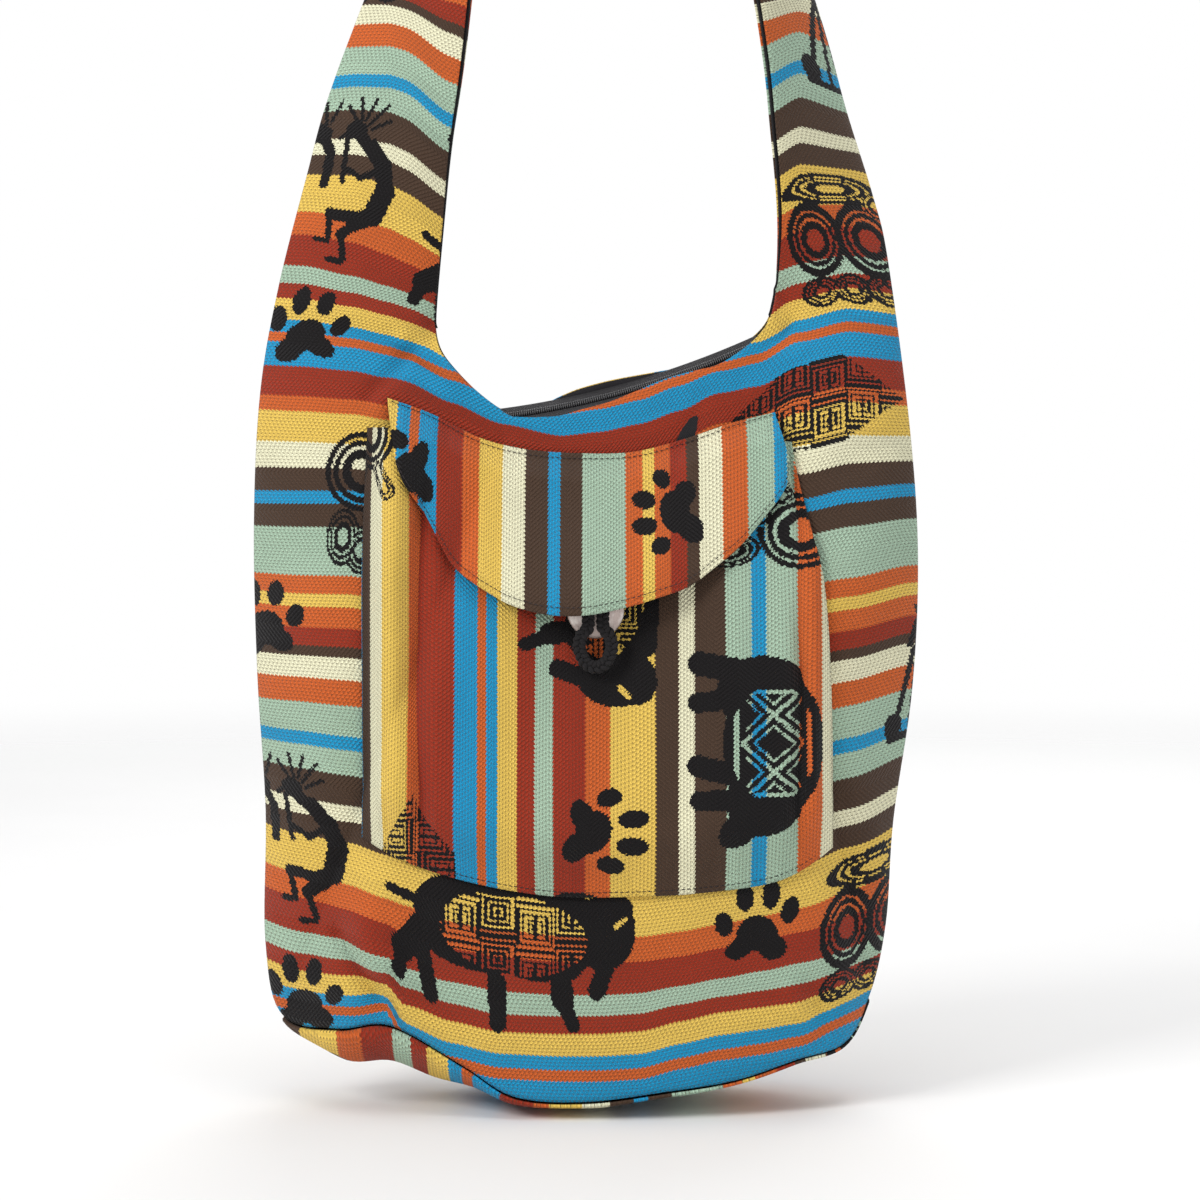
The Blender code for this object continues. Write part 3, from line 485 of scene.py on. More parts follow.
@dataclass(frozen=True)
class StripedCloth:
    """Herringbone twill with stripes and black woven figures, drawn in cloth coordinates."""

    yarn_u: float = 1.9
    yarn_v: float = 1.6
    twill: float = 4.4
    chevron: float = 19.0
    relief: float = 0.0008
    cell: float = 800.0
    paw_reach: float = 62.0

    PAWS = ((298, 330, False), (259, 630, False), (757, 222, True), (849, 582, False))

    def make(self) -> bpy.types.Material:
        """Build the material, which reads the UV map of the piece.

        Returns:
            The finished material.
        """
        made, graph = new_material("striped_cloth")
        _, u, v, _ = graph.place("UV")
        leaning = u + v.bounce(self.chevron) * 0.9
        ragged = (leaning.bounce(self.twill / 2) - self.twill / 4) * 0.75
        stripes = graph.node("ShaderNodeValToRGB", {
            "stops": [(place / REPEAT, yarn.paint) for place, yarn in STRIPES]},
            {0: ((v + ragged) % REPEAT) / REPEAT}).outputs[0]
        edge = ragged * 0.8
        black = self.figures(graph, (u + edge).snapped(self.yarn_u),
                             (v + edge).snapped(self.yarn_v) % REPEAT)
        rib = ((leaning * (2 * math.pi / self.twill)).sine() + 1.0) * 0.5
        cross = ((v * (2 * math.pi / (self.yarn_v * 2.0))).sine() + 1.0) * 0.5
        hole = (rib * cross).ease(0.42, 0.86)
        grain = graph.noise(graph.join(u * 0.05, v * 1.2), 1.0)
        patch = graph.noise(graph.join(u * 0.012, v * 0.012), 1.0, 3.0)
        # Painted shade: the colour is darkened towards brown in the weave's holes.
        colour = graph.mix(hole * 0.86, stripes, graph.mix(0.78, stripes, Yarn.BROWN.paint))
        colour = graph.mix(black, colour, Yarn.BLACK.paint)
        # Grain and patch are the yarn's own uneven tone; the rib term darkens the grooves between the
        # twill's ribs, which is painted shade.
        tone_and_groove_shade = 0.86 + grain * 0.26 + patch * 0.14 - (1.0 - rib) * 0.28
        colour = graph.mix(1.0, colour, graph.join(tone_and_groove_shade, tone_and_groove_shade, tone_and_groove_shade), "MULTIPLY")
        height = rib * 0.8 - hole * 0.5 + grain * 0.3 + 0.3
        graph.surface(colour, 0.86 + black * 0.04, height, self.relief, Sheen_Weight=0.06,
                      Sheen_Roughness=0.5, Specular_IOR_Level=0.18)
        return made

    def figures(self, graph: Graph, u: Wire, v: Wire) -> Wire:
        """Where the black yarn lies on top.

        Args:
            graph: the tree.
            u, v: cloth coordinates, already in whole yarns.

        Returns:
            1 on black yarn, else 0.
        """
        whole = Figure(graph, u % self.cell, v)
        parts = [self.nearest(whole, self.PAWS, self.paw_reach).fill(PAW),
                 whole.local(304, 175).fill(PLAYER), whole.local(268, 178).fill(CROUCHED),
                 self.bison(whole.local(516, 224)), self.bear(whole.local(669, 76))]
        parts += [self.ringed(whole.local(u, 236), TOTEM, 3.2) for u in (878, 78)]
        parts += [self.ringed(whole.local(*place), WING, 2.6) for place in ((362, 498), (460, 62, True))]
        parts += [whole.local(124, v).fill(TENT) for v in (38, 680)]
        parts += [self.key(whole.local(u, 405)) for u in (812, 12)]
        return reduce(Wire.most, parts)

    @staticmethod
    def nearest(whole: Figure, places: Sequence[tuple[float, float, bool]], reach: float) -> Figure:
        """One drawing shared by several places that lie further apart than twice the reach.

        Args:
            whole: the cloth.
            places: the figures' middles, and whether each is mirrored.
            reach: half the side of the square round a middle.

        Returns:
            The drawing in local coordinates.
        """
        graph, shared = whole.graph, None
        for u, v, mirror in places:
            local = whole.local(u, v, mirror)
            near = (abs(local.u) < reach) * (abs(local.v) < reach)
            here = graph.join(local.u, local.v)
            if shared is None:
                shared = here
            else:
                node = graph.node("ShaderNodeMix", {"data_type": "VECTOR"},
                                  {0: near, 4: shared, 5: here})
                shared = node.outputs[1]
        parts = graph.node("ShaderNodeSeparateXYZ", None, {0: shared}).outputs
        return Figure(graph, Wire(graph, parts[0]), Wire(graph, parts[1]))

    @staticmethod
    def ringed(local: Figure, shapes: Sequence[Shape], bands: float) -> Wire:
        """Ovals drawn as black rings with the stripes between them.

        Args:
            local: drawing at the figure's middle.
            shapes: its ovals.
            bands: rings in each oval.

        Returns:
            1 on the rings, else 0.
        """
        field = local.field(shapes)
        rings = ((field * bands) % 1.0) > 0.34
        return (rings * (field < 1.0)).most((field < 1.22) * (field > 0.90))

    @staticmethod
    def steps(local: Figure, width: float, pitch: float) -> Wire:
        """Stepped key lines: nested squares whose sides are offset from cell to cell.

        Args:
            local: drawing at the field's middle.
            width: width of a cell.
            pitch: distance between two lines.

        Returns:
            1 on the lines, else 0.
        """
        u, v = local.u, local.v
        cell = (u / width).snapped(1.0) % 2.0
        a = abs((u % width) - width / 2)
        b = abs(((v + cell * (pitch * 2)) % (pitch * 8)) - pitch * 4)
        nest = a.most(b * 1.1)
        return ((nest % pitch) < pitch * 0.52).most((a < pitch * 0.3) * (b < pitch * 2))

    def bison(self, local: Figure) -> Wire:
        """Standing bison whose flank shows the stripes behind black key lines.

        Args:
            local: drawing at the figure's middle.

        Returns:
            1 on black yarn, else 0.
        """
        flank = local.fill((Oval(-3, -12, 74, 36, 0.03),))
        eye = local.fill((Bar((98, -24), (108, -32), 2.2),))
        lines = self.steps(local, 37, 5.2)
        return local.fill(BISON) * (1.0 - flank * (1.0 - lines)) * (1.0 - eye)

    def bear(self, local: Figure) -> Wire:
        """Walking bear with a band of diamonds along its flank.

        Args:
            local: drawing at the figure's middle.

        Returns:
            1 on black yarn, else 0.
        """
        band = local.fill((Oval(0, -14, 56, 41),))
        across = abs(local.v + 14)
        diamond = abs((local.u + 28.0).bounce(28) - across.least(28.0))
        lines = (diamond < 2.6) * (across < 30)
        hearts = (diamond > 9) * (diamond < 12) * (across < 26)
        edges = (abs(across - 34) < 2.0).most(abs(abs(local.u) - 50) < 2.2)
        lines = lines.most(edges) * band
        hearts = hearts * band
        return local.fill(BEAR) * (1.0 - lines.most(hearts))

    def key(self, local: Figure) -> Wire:
        """Patch of stepped key lines in a long eight-sided field."""
        field = (abs(local.u) * 0.62 + abs(local.v) * 0.9).most(abs(local.v) * 1.35) < 58
        return self.steps(local, 34, 5.0) * field


@dataclass(frozen=True)
class BlackCloth:
    """Plain black weave of the lining, the strap's inner layer and the zip tapes."""

    name: str
    pitch: float = 0.0011
    colour: Colour = linear(22, 21, 23)

    def make(self) -> bpy.types.Material:
        """Build the material.

        Returns:
            The finished material.
        """
        made, graph = new_material(self.name)
        vector, x, y, z = graph.place()
        turn = 2 * math.pi / self.pitch
        weave = ((x + y) * turn).sine() * ((z - y) * turn).sine() * 0.5 + 0.5
        worn = graph.noise(vector, 60.0, 4.0)
        # The worn term is the cloth's own uneven wear; the weave term lightens the raised threads, which
        # is a painted highlight.
        colour = graph.mix(worn * 0.5 + weave * 0.3, self.colour, tuple(c * 2.6 for c in self.colour))
        graph.surface(colour, 0.82 - worn * 0.08, weave, 0.0002, Sheen_Weight=0.04,
                      Specular_IOR_Level=0.2)
        return made


@dataclass(frozen=True)
class Cord:
    """Braided or twisted black cord and thread, whose fibres follow Object coordinates."""

    name: str
    pitch: float = 0.0016
    colour: Colour = linear(18, 16, 17)

    def make(self) -> bpy.types.Material:
        """Build the material.

        Returns:
            The finished material.
        """
        made, graph = new_material(self.name)
        vector, x, _, z = graph.place()
        fibre = ((x + z * 0.6) * (2 * math.pi / self.pitch)).sine() * 0.5 + 0.5
        fluff = graph.noise(vector, 900.0, 3.0)
        # The fluff term is the cord's own uneven tone; the fibre term lightens the raised strands, which
        # is a painted highlight.
        colour = graph.mix(fluff * 0.6 + fibre * 0.2, self.colour, tuple(c * 2.8 for c in self.colour))
        graph.surface(colour, 0.8 + fluff * 0.1, fibre * 0.6 + fluff * 0.4, 0.00025, Sheen_Weight=0.05,
                      Specular_IOR_Level=0.25)
        return made


@dataclass(frozen=True)
class Metal:
    """Lacquered or brushed metal with faint scratches and worn patches."""

    name: str
    colour: Colour
    worn: Colour
    roughness: float
    metallic: float = 1.0

    def make(self) -> bpy.types.Material:
        """Build the material.

        Returns:
            The finished material.
        """
        made, graph = new_material(self.name)
        vector, x, y, z = graph.place()
        scratches = graph.noise(graph.join(x * 900, y * 900, z * 90), 1.0, 4.0)
        cloud = graph.noise(vector, 140.0, 3.0)
        wear = (cloud + scratches * 0.35).ease(0.62, 0.95)
        colour = graph.mix(wear, self.colour, self.worn)
        graph.surface(colour, self.roughness + scratches * 0.18, scratches, 0.00004,
                      Metallic=self.metallic)
        return made


@dataclass(frozen=True)
class Nylon:
    """Moulded black nylon of the zip's coil."""

    name: str = "black_nylon"

    def make(self) -> bpy.types.Material:
        """Build the material.

        Returns:
            The finished material.
        """
        made, graph = new_material(self.name)
        vector, *_ = graph.place()
        cloud = graph.noise(vector, 700.0, 3.0)
        colour = graph.mix(cloud, linear(22, 22, 24), linear(52, 51, 54))
        graph.surface(colour, 0.34 + cloud * 0.16, cloud, 0.00003)
        return made


@dataclass(frozen=True)
class Plaster:
    """Pale matt floor, which fades into the white world away from the bag."""

    name: str
    colour: Colour
    clear: float = 0.9
    gone: float = 3.2

    def make(self) -> bpy.types.Material:
        """Build the material.

        Returns:
            The finished material.
        """
        made, graph = new_material(self.name)
        vector, x, y, _ = graph.place()
        cloud = graph.noise(vector, 3.0, 3.0)
        colour = graph.mix(cloud, self.colour, tuple(c * 0.94 for c in self.colour))
        far = graph.math("SQRT", x * x + y * y).ease(self.clear, self.gone)
        graph.surface(colour, 0.9, Alpha=1.0 - far)
        return made


DRAPE_X = (250, 300, 350, 388, 402, 450, 500, 560, 600, 640, 680, 720, 760, 800, 850, 910)
DRAPE = (
    (-60, (2, 2, 0, 2, 6, 36, 60, 60, 40, 20, 0, -10, 8, -12, -2, 8)),
    (0, (2, 2, 0, 0, 4, 32, 60, 60, 40, 20, 0, -10, 2, -14, -1, 8)),
    (100, (3, 3, 0, 3, 8, 42, 70, 70, 50, 30, 20, 20, 14, -9, 0, 6)),
    (200, (0, 0, 5, 15, 22, 50, 76, 76, 60, 40, 30, 26, 20, -4, -6, 0)),
    (270, (-3, 2, 13, 25, 31, 52, 78, 78, 64, 50, 40, 30, 15, 1, -9, -2)),
    (330, (0, 3, 10, 19, 24, 46, 60, 78, 68, 56, 48, 38, 26, 4, -8, -3)),
    (400, (-3, 0, 4, 11, 14, 38, 62, 78, 71, 61, 46, 27, 20, 1, -10, -6)),
    (500, (0, 0, 0, 4, 8, 28, 48, 60, 60, 54, 44, 30, 20, 9, -1, -7)),
    (600, (-2, 0, 0, 6, 10, 28, 46, 56, 58, 54, 46, 36, 24, 9, 2, -10)),
    (700, (0, 0, 3, 8, 12, 30, 46, 56, 58, 55, 48, 38, 28, 13, 3, -9)),
    (800, (-3, 2, 8, 16, 20, 36, 48, 56, 58, 55, 50, 42, 34, 22, 11, -6)),
    (890, (-6, 0, 10, 20, 24, 38, 48, 54, 56, 55, 50, 44, 38, 31, 16, 4)),
    (960, (-2, 6, 10, 22, 34, 46, 52, 57, 58, 58, 53, 45, 37, 29, 20, 6)),
    (1010, (-3, 3, -2, -8, 28, 47, 57, 58, 58, 56, 46, 37, 33, 29, 12, 0)),
    (1050, (-4, 2, -8, -16, 24, 46, 56, 58, 58, 56, 46, 38, 34, 28, 8, 0)),
)
POCKET_ACROSS = ((364, 492), (374, 468), (386, 443), (410, 410), (420, 396), (456, 366),
                 (479, 340), (489, 328), (500, 315), (518, 296), (537, 280), (555, 262),
                 (587, 230), (612, 207), (655, 170), (681, 147), (695, 133), (726, 104),
                 (752, 80), (766, 68), (797, 40), (818, 18), (830, 4), (834, -8))
FLAP_ACROSS = ((385, 303), (395, 315), (408, 328), (419, 340), (437, 366), (461, 396), (477, 410),
               (502, 443), (524, 468), (547, 491), (560, 505), (581, 527), (624, 576), (640, 593),
               (654, 608), (669, 628), (686, 647), (696, 655), (722, 678), (748, 702), (774, 730),
               (787, 743), (792, 749))
PATTERN_STRETCH = ((-900, 0), (660, 0), (700, 2), (835, 6), (900, 10), (932, 11), (974, 17), (1040, 23),
                   (1100, 24))
POCKET_SHIFT, FLAP_SHIFT, BACK_TURN = -71.0, 775.0, 1184.0
LEAN, LEAN_FROM = 0.30, 340.0


def drape(x: float, y: float) -> float:
    """How far the stripes lie below their cut height at a place of the hanging bag.

    Args:
        x, y: place in pattern steps, y downwards.

    Returns:
        The distance, in pattern steps.
    """
    def row(values: Sequence[float]) -> float:
        """Smooth value along one row of the table.

        Args:
            values: the row's numbers.

        Returns:
            The value at x.
        """
        place = min(max(x, DRAPE_X[0]), DRAPE_X[-1])
        index = max(i for i in range(len(DRAPE_X) - 1) if DRAPE_X[i] <= place)
        share = (place - DRAPE_X[index]) / (DRAPE_X[index + 1] - DRAPE_X[index])
        if DRAPE_X[index + 1] - DRAPE_X[index] > 20:
            share = 0.5 * share + 0.5 * fade(share)
        return values[index] * (1 - share) + values[index + 1] * share

    y = min(max(y, DRAPE[0][0]), DRAPE[-1][0])
    index = max(i for i in range(len(DRAPE) - 1) if DRAPE[i][0] <= y)
    (low, upper), (high, lower) = DRAPE[index], DRAPE[index + 1]
    share = (y - low) / (high - low)
    return row(upper) * (1 - share) + row(lower) * share


def body_cloth(point: Vector, front: bool = True) -> Point:
    """Cloth coordinates on the front or back of the body and the strap's legs.

    Args:
        point: place in the bag's own heights.
        front: front or back cloth.

    Returns:
        u along the stripes and v across them.
    """
    x, y = SHIFT_X + point.x / STEP, SHIFT_Z - point.z / STEP
    lean = LEAN * max(LEAN_FROM - y, 0.0)
    lean *= 1 if x < SHIFT_X else -1
    u = x - lean
    v = y - drape(x, y)
    return (u if front else BACK_TURN - u), v - straight_value(PATTERN_STRETCH, v)


def turned_cloth(rows: list[list[Vector]], across: Sequence[Point], shift: float,
                 side: int) -> list[list[Point]]:
    """Cloth coordinates of a piece whose stripes run down.

    Args:
        rows: the piece's points.
        across: v by place across the bag.
        shift: u at the top of the picture.
        side: 1 where u grows downwards, -1 where it grows upwards.

    Returns:
        u and v of every point.
    """
    return [[(side * (SHIFT_Z - point.z / STEP) + shift,
              straight_value(across, SHIFT_X + point.x / STEP)) for point in row] for row in rows]


@dataclass
class Line:
    """One line across the panel, from its inner edge (mouth and strap) to its outer edge (seam)."""

    inner: Vector
    outer: Vector
    gap: float
    seam: float
    belly: float
    rise: float = 0.0
    square: float = 2.0
    skew: float = 1.3
    sag: float = 0.0


@dataclass
class BagShape:
    """Sizes and lines of the whole bag, in the bag's own heights."""

    width: float = 0.374
    mouth: float = 0.395
    drop: float = 0.485
    strap: float = 0.060
    base: float = 0.110
    belly: float = 0.036
    gap: float = 0.029
    back_rise: float = 0.013
    cloth: float = 0.0016
    lining: float = 0.0008
    touch: float = 0.0003
    ease: float = 0.0006
    puff: float = 0.0012
    crown_x: float = 0.010
    crown_flat: float = 0.028
    crown_bend: float = 0.035
    crown_angle: float = math.radians(75)
    samples: int = 9
    lines: list[Line] = field(default_factory=list)
    normals: list[Vector] = field(default_factory=list)
    starts: list[int] = field(default_factory=list)
    ends: list[int] = field(default_factory=list)

    def __post_init__(self) -> None:
        """Work out the ring of lines and their outward directions."""
        groups = self.stations()
        stations = [station for group in groups for station in group]
        for index, station in enumerate(stations):
            self.lines.append(station)
            for step in range(1, self.samples):
                self.lines.append(self.between(stations, index, step / self.samples))
        self.starts = [self.lines.index(group[0]) for group in groups]
        self.ends = [self.lines.index(group[-1]) for group in groups]
        count = len(self.lines)
        for index, line in enumerate(self.lines):
            after, before = self.lines[(index + 1) % count], self.lines[index - 1]
            along = after.inner + after.outer - before.inner - before.outer
            self.normals.append((line.outer - line.inner).cross(along).normalized())

    def body(self, inner: Point, outer: Point, gap: float, belly: float, seam: float = 0.0,
             rise: float = 0.0, sag: float = 0.0) -> Line:
        """A line of the body: places are shares of the half width and the mouth's height.

        Args:
            inner, outer: shares of the half width and of the mouth's height.
            gap: share of the gap at the mouth.
            belly: share of the belly.
            seam: share of the base's depth.
            rise: share of the back's rise.
            sag: share of the base's depth that the base sags.

        Returns:
            The line.
        """
        half = self.width / 2
        return Line(Vector((inner[0] * half, 0, inner[1] * self.mouth)),
                    Vector((outer[0] * half, 0, outer[1] * self.mouth)),
                    gap * self.gap / 2, max(seam * self.base / 2, self.touch / 2),
                    belly * self.belly, rise * self.back_rise, sag=sag * self.base)

    def leg(self, side: int, x: float, drop: float, width: float, turn: float, lean: float,
            puff: float, square: float = 4.0) -> Line:
        """A line across the strap. side is -1 on the left leg and 1 on the right leg.

        Args:
            side: -1 on the left leg, 1 on the right leg.
            x, drop: shares of the half width and of the strap's drop.
            width: share of the strap's width.
            turn, lean: degrees round the leg and out of the level.
            puff: share of the puff.
            square: squareness of the section.

        Returns:
            The line.
        """
        turned, leaned = math.radians(turn), math.radians(lean)
        centre = Vector((x * self.width / 2, 0, self.mouth + drop * self.drop))
        across = Vector((-side * math.cos(turned) * math.cos(leaned), -math.sin(turned),
                         -math.cos(turned) * math.sin(leaned))) * (width * self.strap / 2)
        layer = self.lining / 2 + self.ease
        return Line(centre + across, centre - across, layer, layer, puff * self.puff,
                    square=square, skew=1.0)

    def crown(self, offset: float, bend: float = 0.0) -> Line:
        """A line across the crown, offset along X from its middle and then round the bend.

        Args:
            offset: place along X from the crown's middle.
            bend: angle round the bend.

        Returns:
            The line.
        """
        x = self.crown_x + offset + math.copysign(self.crown_bend * math.sin(bend), offset)
        z = self.mouth + self.drop - self.crown_bend * (1 - math.cos(bend))
        layer = self.lining / 2 + self.ease
        return Line(Vector((x, -self.strap / 2, z)), Vector((x, self.strap / 2, z)), layer, layer,
                    self.puff, square=6.0, skew=1.0)

    def stations(self) -> tuple[list[Line], ...]:
        """The lines in order: crown, left leg, left side, base, right side, right leg.

        Returns:
            The lines of each part.
        """
        flat, angle = self.crown_flat / 2, self.crown_angle
        crown = [self.crown(flat), self.crown(0.0), self.crown(-flat)]
        left_leg = [self.crown(-flat, angle / 2), self.crown(-flat, angle)] + [
            self.leg(-1, *row) for row in (
                (-0.358, 0.701, 1.05, 62, 12, 1.7), (-0.516, 0.449, 1.17, 27, 19, 2.9, 3.0),
                (-0.591, 0.335, 1.29, 17, 18, 4.2, 2.6), (-0.631, 0.254, 1.35, 10, 16, 6.0, 2.3),
                (-0.688, 0.132, 1.48, 4, 9, 9.0, 2.0))]
        left_side = [self.body(*row) for row in (
            ((-0.451, 1.114), (-0.979, 1.025), 0.28, 0.46),
            ((-0.433, 1.084), (-1.000, 0.835), 0.72, 0.64),
            ((-0.390, 1.057), (-0.992, 0.620), 1.00, 0.83),
            ((-0.332, 1.029), (-0.968, 0.418), 1.00, 0.98),
            ((-0.267, 1.005), (-0.971, 0.228), 1.00, 1.02),
            ((-0.225, 0.991), (-0.920, 0.120), 1.00, 0.98, 0.0, 0.15, 0.01))]
        base = [self.body(*row) for row in (
            ((-0.182, 0.988), (-0.743, 0.115), 1.00, 0.76, 0.58, 0.3, 0.17),
            ((-0.128, 0.988), (-0.578, 0.124), 1.00, 0.61, 0.77, 0.55, 0.235),
            ((-0.070, 0.990), (-0.358, 0.070), 1.00, 0.50, 0.91, 0.9, 0.15),
            ((-0.011, 0.998), (-0.203, 0.027), 1.00, 0.45, 0.97, 1.0, 0.065),
            ((0.075, 1.009), (0.011, 0.021), 1.00, 0.45, 1.00, 1.0, 0.055),
            ((0.160, 1.025), (0.241, 0.034), 1.00, 0.47, 0.97, 0.75, 0.05),
            ((0.246, 1.042), (0.455, 0.048), 1.00, 0.56, 0.86, 0.45, 0.035),
            ((0.332, 1.054), (0.642, 0.073), 1.00, 0.70, 0.68, 0.3, 0.022),
            ((0.401, 1.062), (0.791, 0.091), 1.00, 0.86, 0.42, 0.35, 0.015))]
        right_side = [self.body(*row) for row in (
            ((0.460, 1.078), (0.872, 0.147), 1.00, 1.00, 0.0, 0.3, 0.01),
            ((0.508, 1.095), (0.922, 0.253), 1.00, 1.02, 0.0, 0.2),
            ((0.545, 1.114), (0.944, 0.405), 1.00, 0.98, 0.0, 0.1),
            ((0.567, 1.133), (1.000, 0.595), 0.98, 0.81),
            ((0.578, 1.151), (1.016, 0.785), 0.66, 0.62),
            ((0.587, 1.170), (0.989, 0.975), 0.26, 0.46))]
        right_leg = [self.leg(1, *row) for row in (
            (0.759, 0.166, 1.07, 15, 8, 8.0, 2.0), (0.738, 0.239, 1.11, 35, 13, 5.5, 2.3),
            (0.687, 0.336, 1.13, 48, 22, 4.0, 2.6), (0.626, 0.454, 1.12, 57, 25, 2.9, 3.0),
            (0.463, 0.701, 1.05, 74, 10, 1.7))] + [
            self.crown(flat, angle), self.crown(flat, angle / 2)]
        return crown, left_leg, left_side, base, right_side, right_leg

    def between(self, stations: list[Line], index: int, share: float) -> Line:
        """The line at a share of the way from one station of the closed ring to the next.

        Args:
            stations: the closed ring.
            index: the station before the line.
            share: from that station, 0, to the next, 1.

        Returns:
            The line.
        """
        around = [stations[(index + step) % len(stations)] for step in (-1, 0, 1, 2)]
        if index < 2:
            around[0], around[3] = around[1], around[2]

        def mix(name: str) -> Union[float, Vector]:
            """Smooth value of one field."""
            return smooth_value(*[getattr(line, name) for line in around], share)

        least = self.touch / 2
        return Line(mix("inner"), mix("outer"), max(mix("gap"), least), max(mix("seam"), least),
                    max(mix("belly"), 0.0), mix("rise"), mix("square"), mix("skew"),
                    max(mix("sag"), 0.0))

    def strap_lengths(self, left: bool) -> dict[int, float]:
        """Length along one leg from its foot to the crown's middle, in pattern steps.

        Args:
            left: the left leg, or the right one.

        Returns:
            The length at each line's index.
        """
        crown = self.samples
        order = list(range(self.starts[2] - 1, crown - 1, -1)) if left else \
            list(range(self.starts[5], len(self.lines))) + list(range(0, crown + 1))
        lengths, length, last = {}, 0.0, None
        for index in order:
            middle = (self.lines[index].inner + self.lines[index].outer) / 2
            if last is not None:
                length += (middle - last).length / STEP
            last = middle
            lengths[index] = length
        return lengths

    def swell(self, line: Line, share: float) -> float:
        """Height of the cloth over the middle surface, at a share of the way from inner to outer.

        Args:
            line: a line of the ring.
            share: from inner, 0, to outer, 1.

        Returns:
            The height, in metres.
        """
        hump = (1 - abs(2 * share ** line.skew - 1) ** line.square) ** 0.8
        hump *= 1 - min(line.gap / (self.gap / 2), 1.0) * (1 - fade(share * 3))
        return line.gap * (1 - share) + line.seam * share + line.belly * hump

    def point(self, index: int, share: float, front: bool, inset: float = 0.0,
              folds: float = 0.0) -> Vector:
        """Inner face of the front or back cloth.

        Args:
            index: line of the ring.
            share: from the inner edge, 0, to the outer edge, 1.
            front: front or back cloth.
            inset: how far it is drawn in, for the lining.
            folds: share of the drape's small folds.

        Returns:
            The place in the bag's own heights.
        """
        line, normal = self.lines[index], self.normals[index]
        middle = line.inner.lerp(line.outer, share)
        height = max(self.swell(line, share) - inset, self.touch / 2)
        if folds and line.skew > 1.0:
            height += folds * fold_height(middle, front) * fade(share * 9) * fade((1 - share) * 12)
        if front:
            return middle + normal * height
        return middle - normal * height + Vector((0, 0, line.rise * (1 - share) ** 2))


FRONT_FOLDS = (
    ((338, 938), (396, 1026), 10.0, -0.0075), ((362, 930), (428, 1044), 15.0, 0.0065),
    ((300, 975), (352, 1005), 18.0, 0.0040), ((812, 1000), (838, 1066), 9.0, -0.0034),
    ((790, 990), (812, 1060), 12.0, 0.0028), ((676, 470), (704, 396), 10.0, -0.0024),
    ((400, 338), (486, 392), 8.0, 0.0030), ((420, 366), (500, 420), 8.0, -0.0026),
    ((366, 398), (412, 350), 10.0, -0.0032), ((730, 372), (790, 330), 9.0, -0.0026),
    ((750, 392), (800, 352), 9.0, 0.0022), ((455, 905), (520, 940), 22.0, 0.0024),
    ((640, 960), (740, 940), 20.0, -0.0024), ((262, 700), (350, 690), 30.0, 0.0020),
    ((856, 700), (900, 640), 20.0, -0.0024), ((850, 560), (905, 600), 22.0, 0.0022),
    ((300, 300), (420, 330), 16.0, 0.0026), ((275, 430), (350, 460), 26.0, -0.0018),
    ((845, 470), (900, 440), 16.0, -0.0020), ((270, 560), (355, 540), 20.0, -0.0018),
)
FOLD_REACH = 3.2
RIPPLE = 0.0010


def fold_height(point: Vector, front: bool) -> float:
    """Soft folds of the body's cloth, as ridges and hollows along short lines.

    Args:
        point: place on the middle surface.
        front: the back has its own, fewer folds.

    Returns:
        How far the cloth stands out there, in metres.
    """
    x, y = SHIFT_X + point.x / STEP, SHIFT_Z - point.z / STEP
    if not front:
        x = 2 * SHIFT_X - x
    here, height = Vector((x, y)), 0.0
    for number, (start, end, reach, amount) in enumerate(FRONT_FOLDS):
        if not front and number < 3:
            continue
        start, axis = Vector(start), Vector(end) - Vector(start)
        share = min(max((here - start).dot(axis) / axis.length_squared, 0.0), 1.0)
        away = (here - start - axis * share).length / reach
        if away < FOLD_REACH:
            height += amount * math.exp(-away * away)
    ripple = math.sin(x * 0.031 + y * 0.013) * math.sin(y * 0.021 - x * 0.006)
    return height + RIPPLE * ripple


def hang(point: Vector) -> Vector:
    """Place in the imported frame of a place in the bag's own heights."""
    return Vector((point[0] + HANG_X, point[1], point[2] + HANG_Z))


def link(name: str, data: bpy.types.ID) -> bpy.types.Object:
    """A new object of some data, linked to the scene.

    Args:
        name: the object's name.
        data: its mesh, lamp or camera.

    Returns:
        The new object.
    """
    made = bpy.data.objects.new(name, data)
    bpy.context.scene.collection.objects.link(made)
    return made


def place_object(name: str, mesh: bpy.types.Mesh, finish: bpy.types.Material) -> bpy.types.Object:
    """Place a smooth mesh at the origin with one finish.

    Args:
        name: the object's name.
        mesh: its mesh.
        finish: its material.

    Returns:
        The new object.
    """
    mesh.shade_smooth()
    mesh.materials.append(finish)
    return link(name, mesh)


def mesh_object(name: str, points: list[Vector], edges: list[tuple], faces: list[Sequence[int]],
                finish: bpy.types.Material) -> bpy.types.Object:
    """Place a mesh of points, edges and faces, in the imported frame.

    Args:
        name: the object's name.
        points: corners.
        edges: pairs of corner numbers.
        faces: rings of corner numbers.
        finish: its material.

    Returns:
        The new object.
    """
    mesh = bpy.data.meshes.new(name)
    mesh.from_pydata([tuple(point) for point in points], edges, faces)
    return place_object(name, mesh, finish)


def turns(count: int) -> list[float]:
    """Angles of a full turn in equal steps."""
    return [2 * math.pi * k / count for k in range(count)]


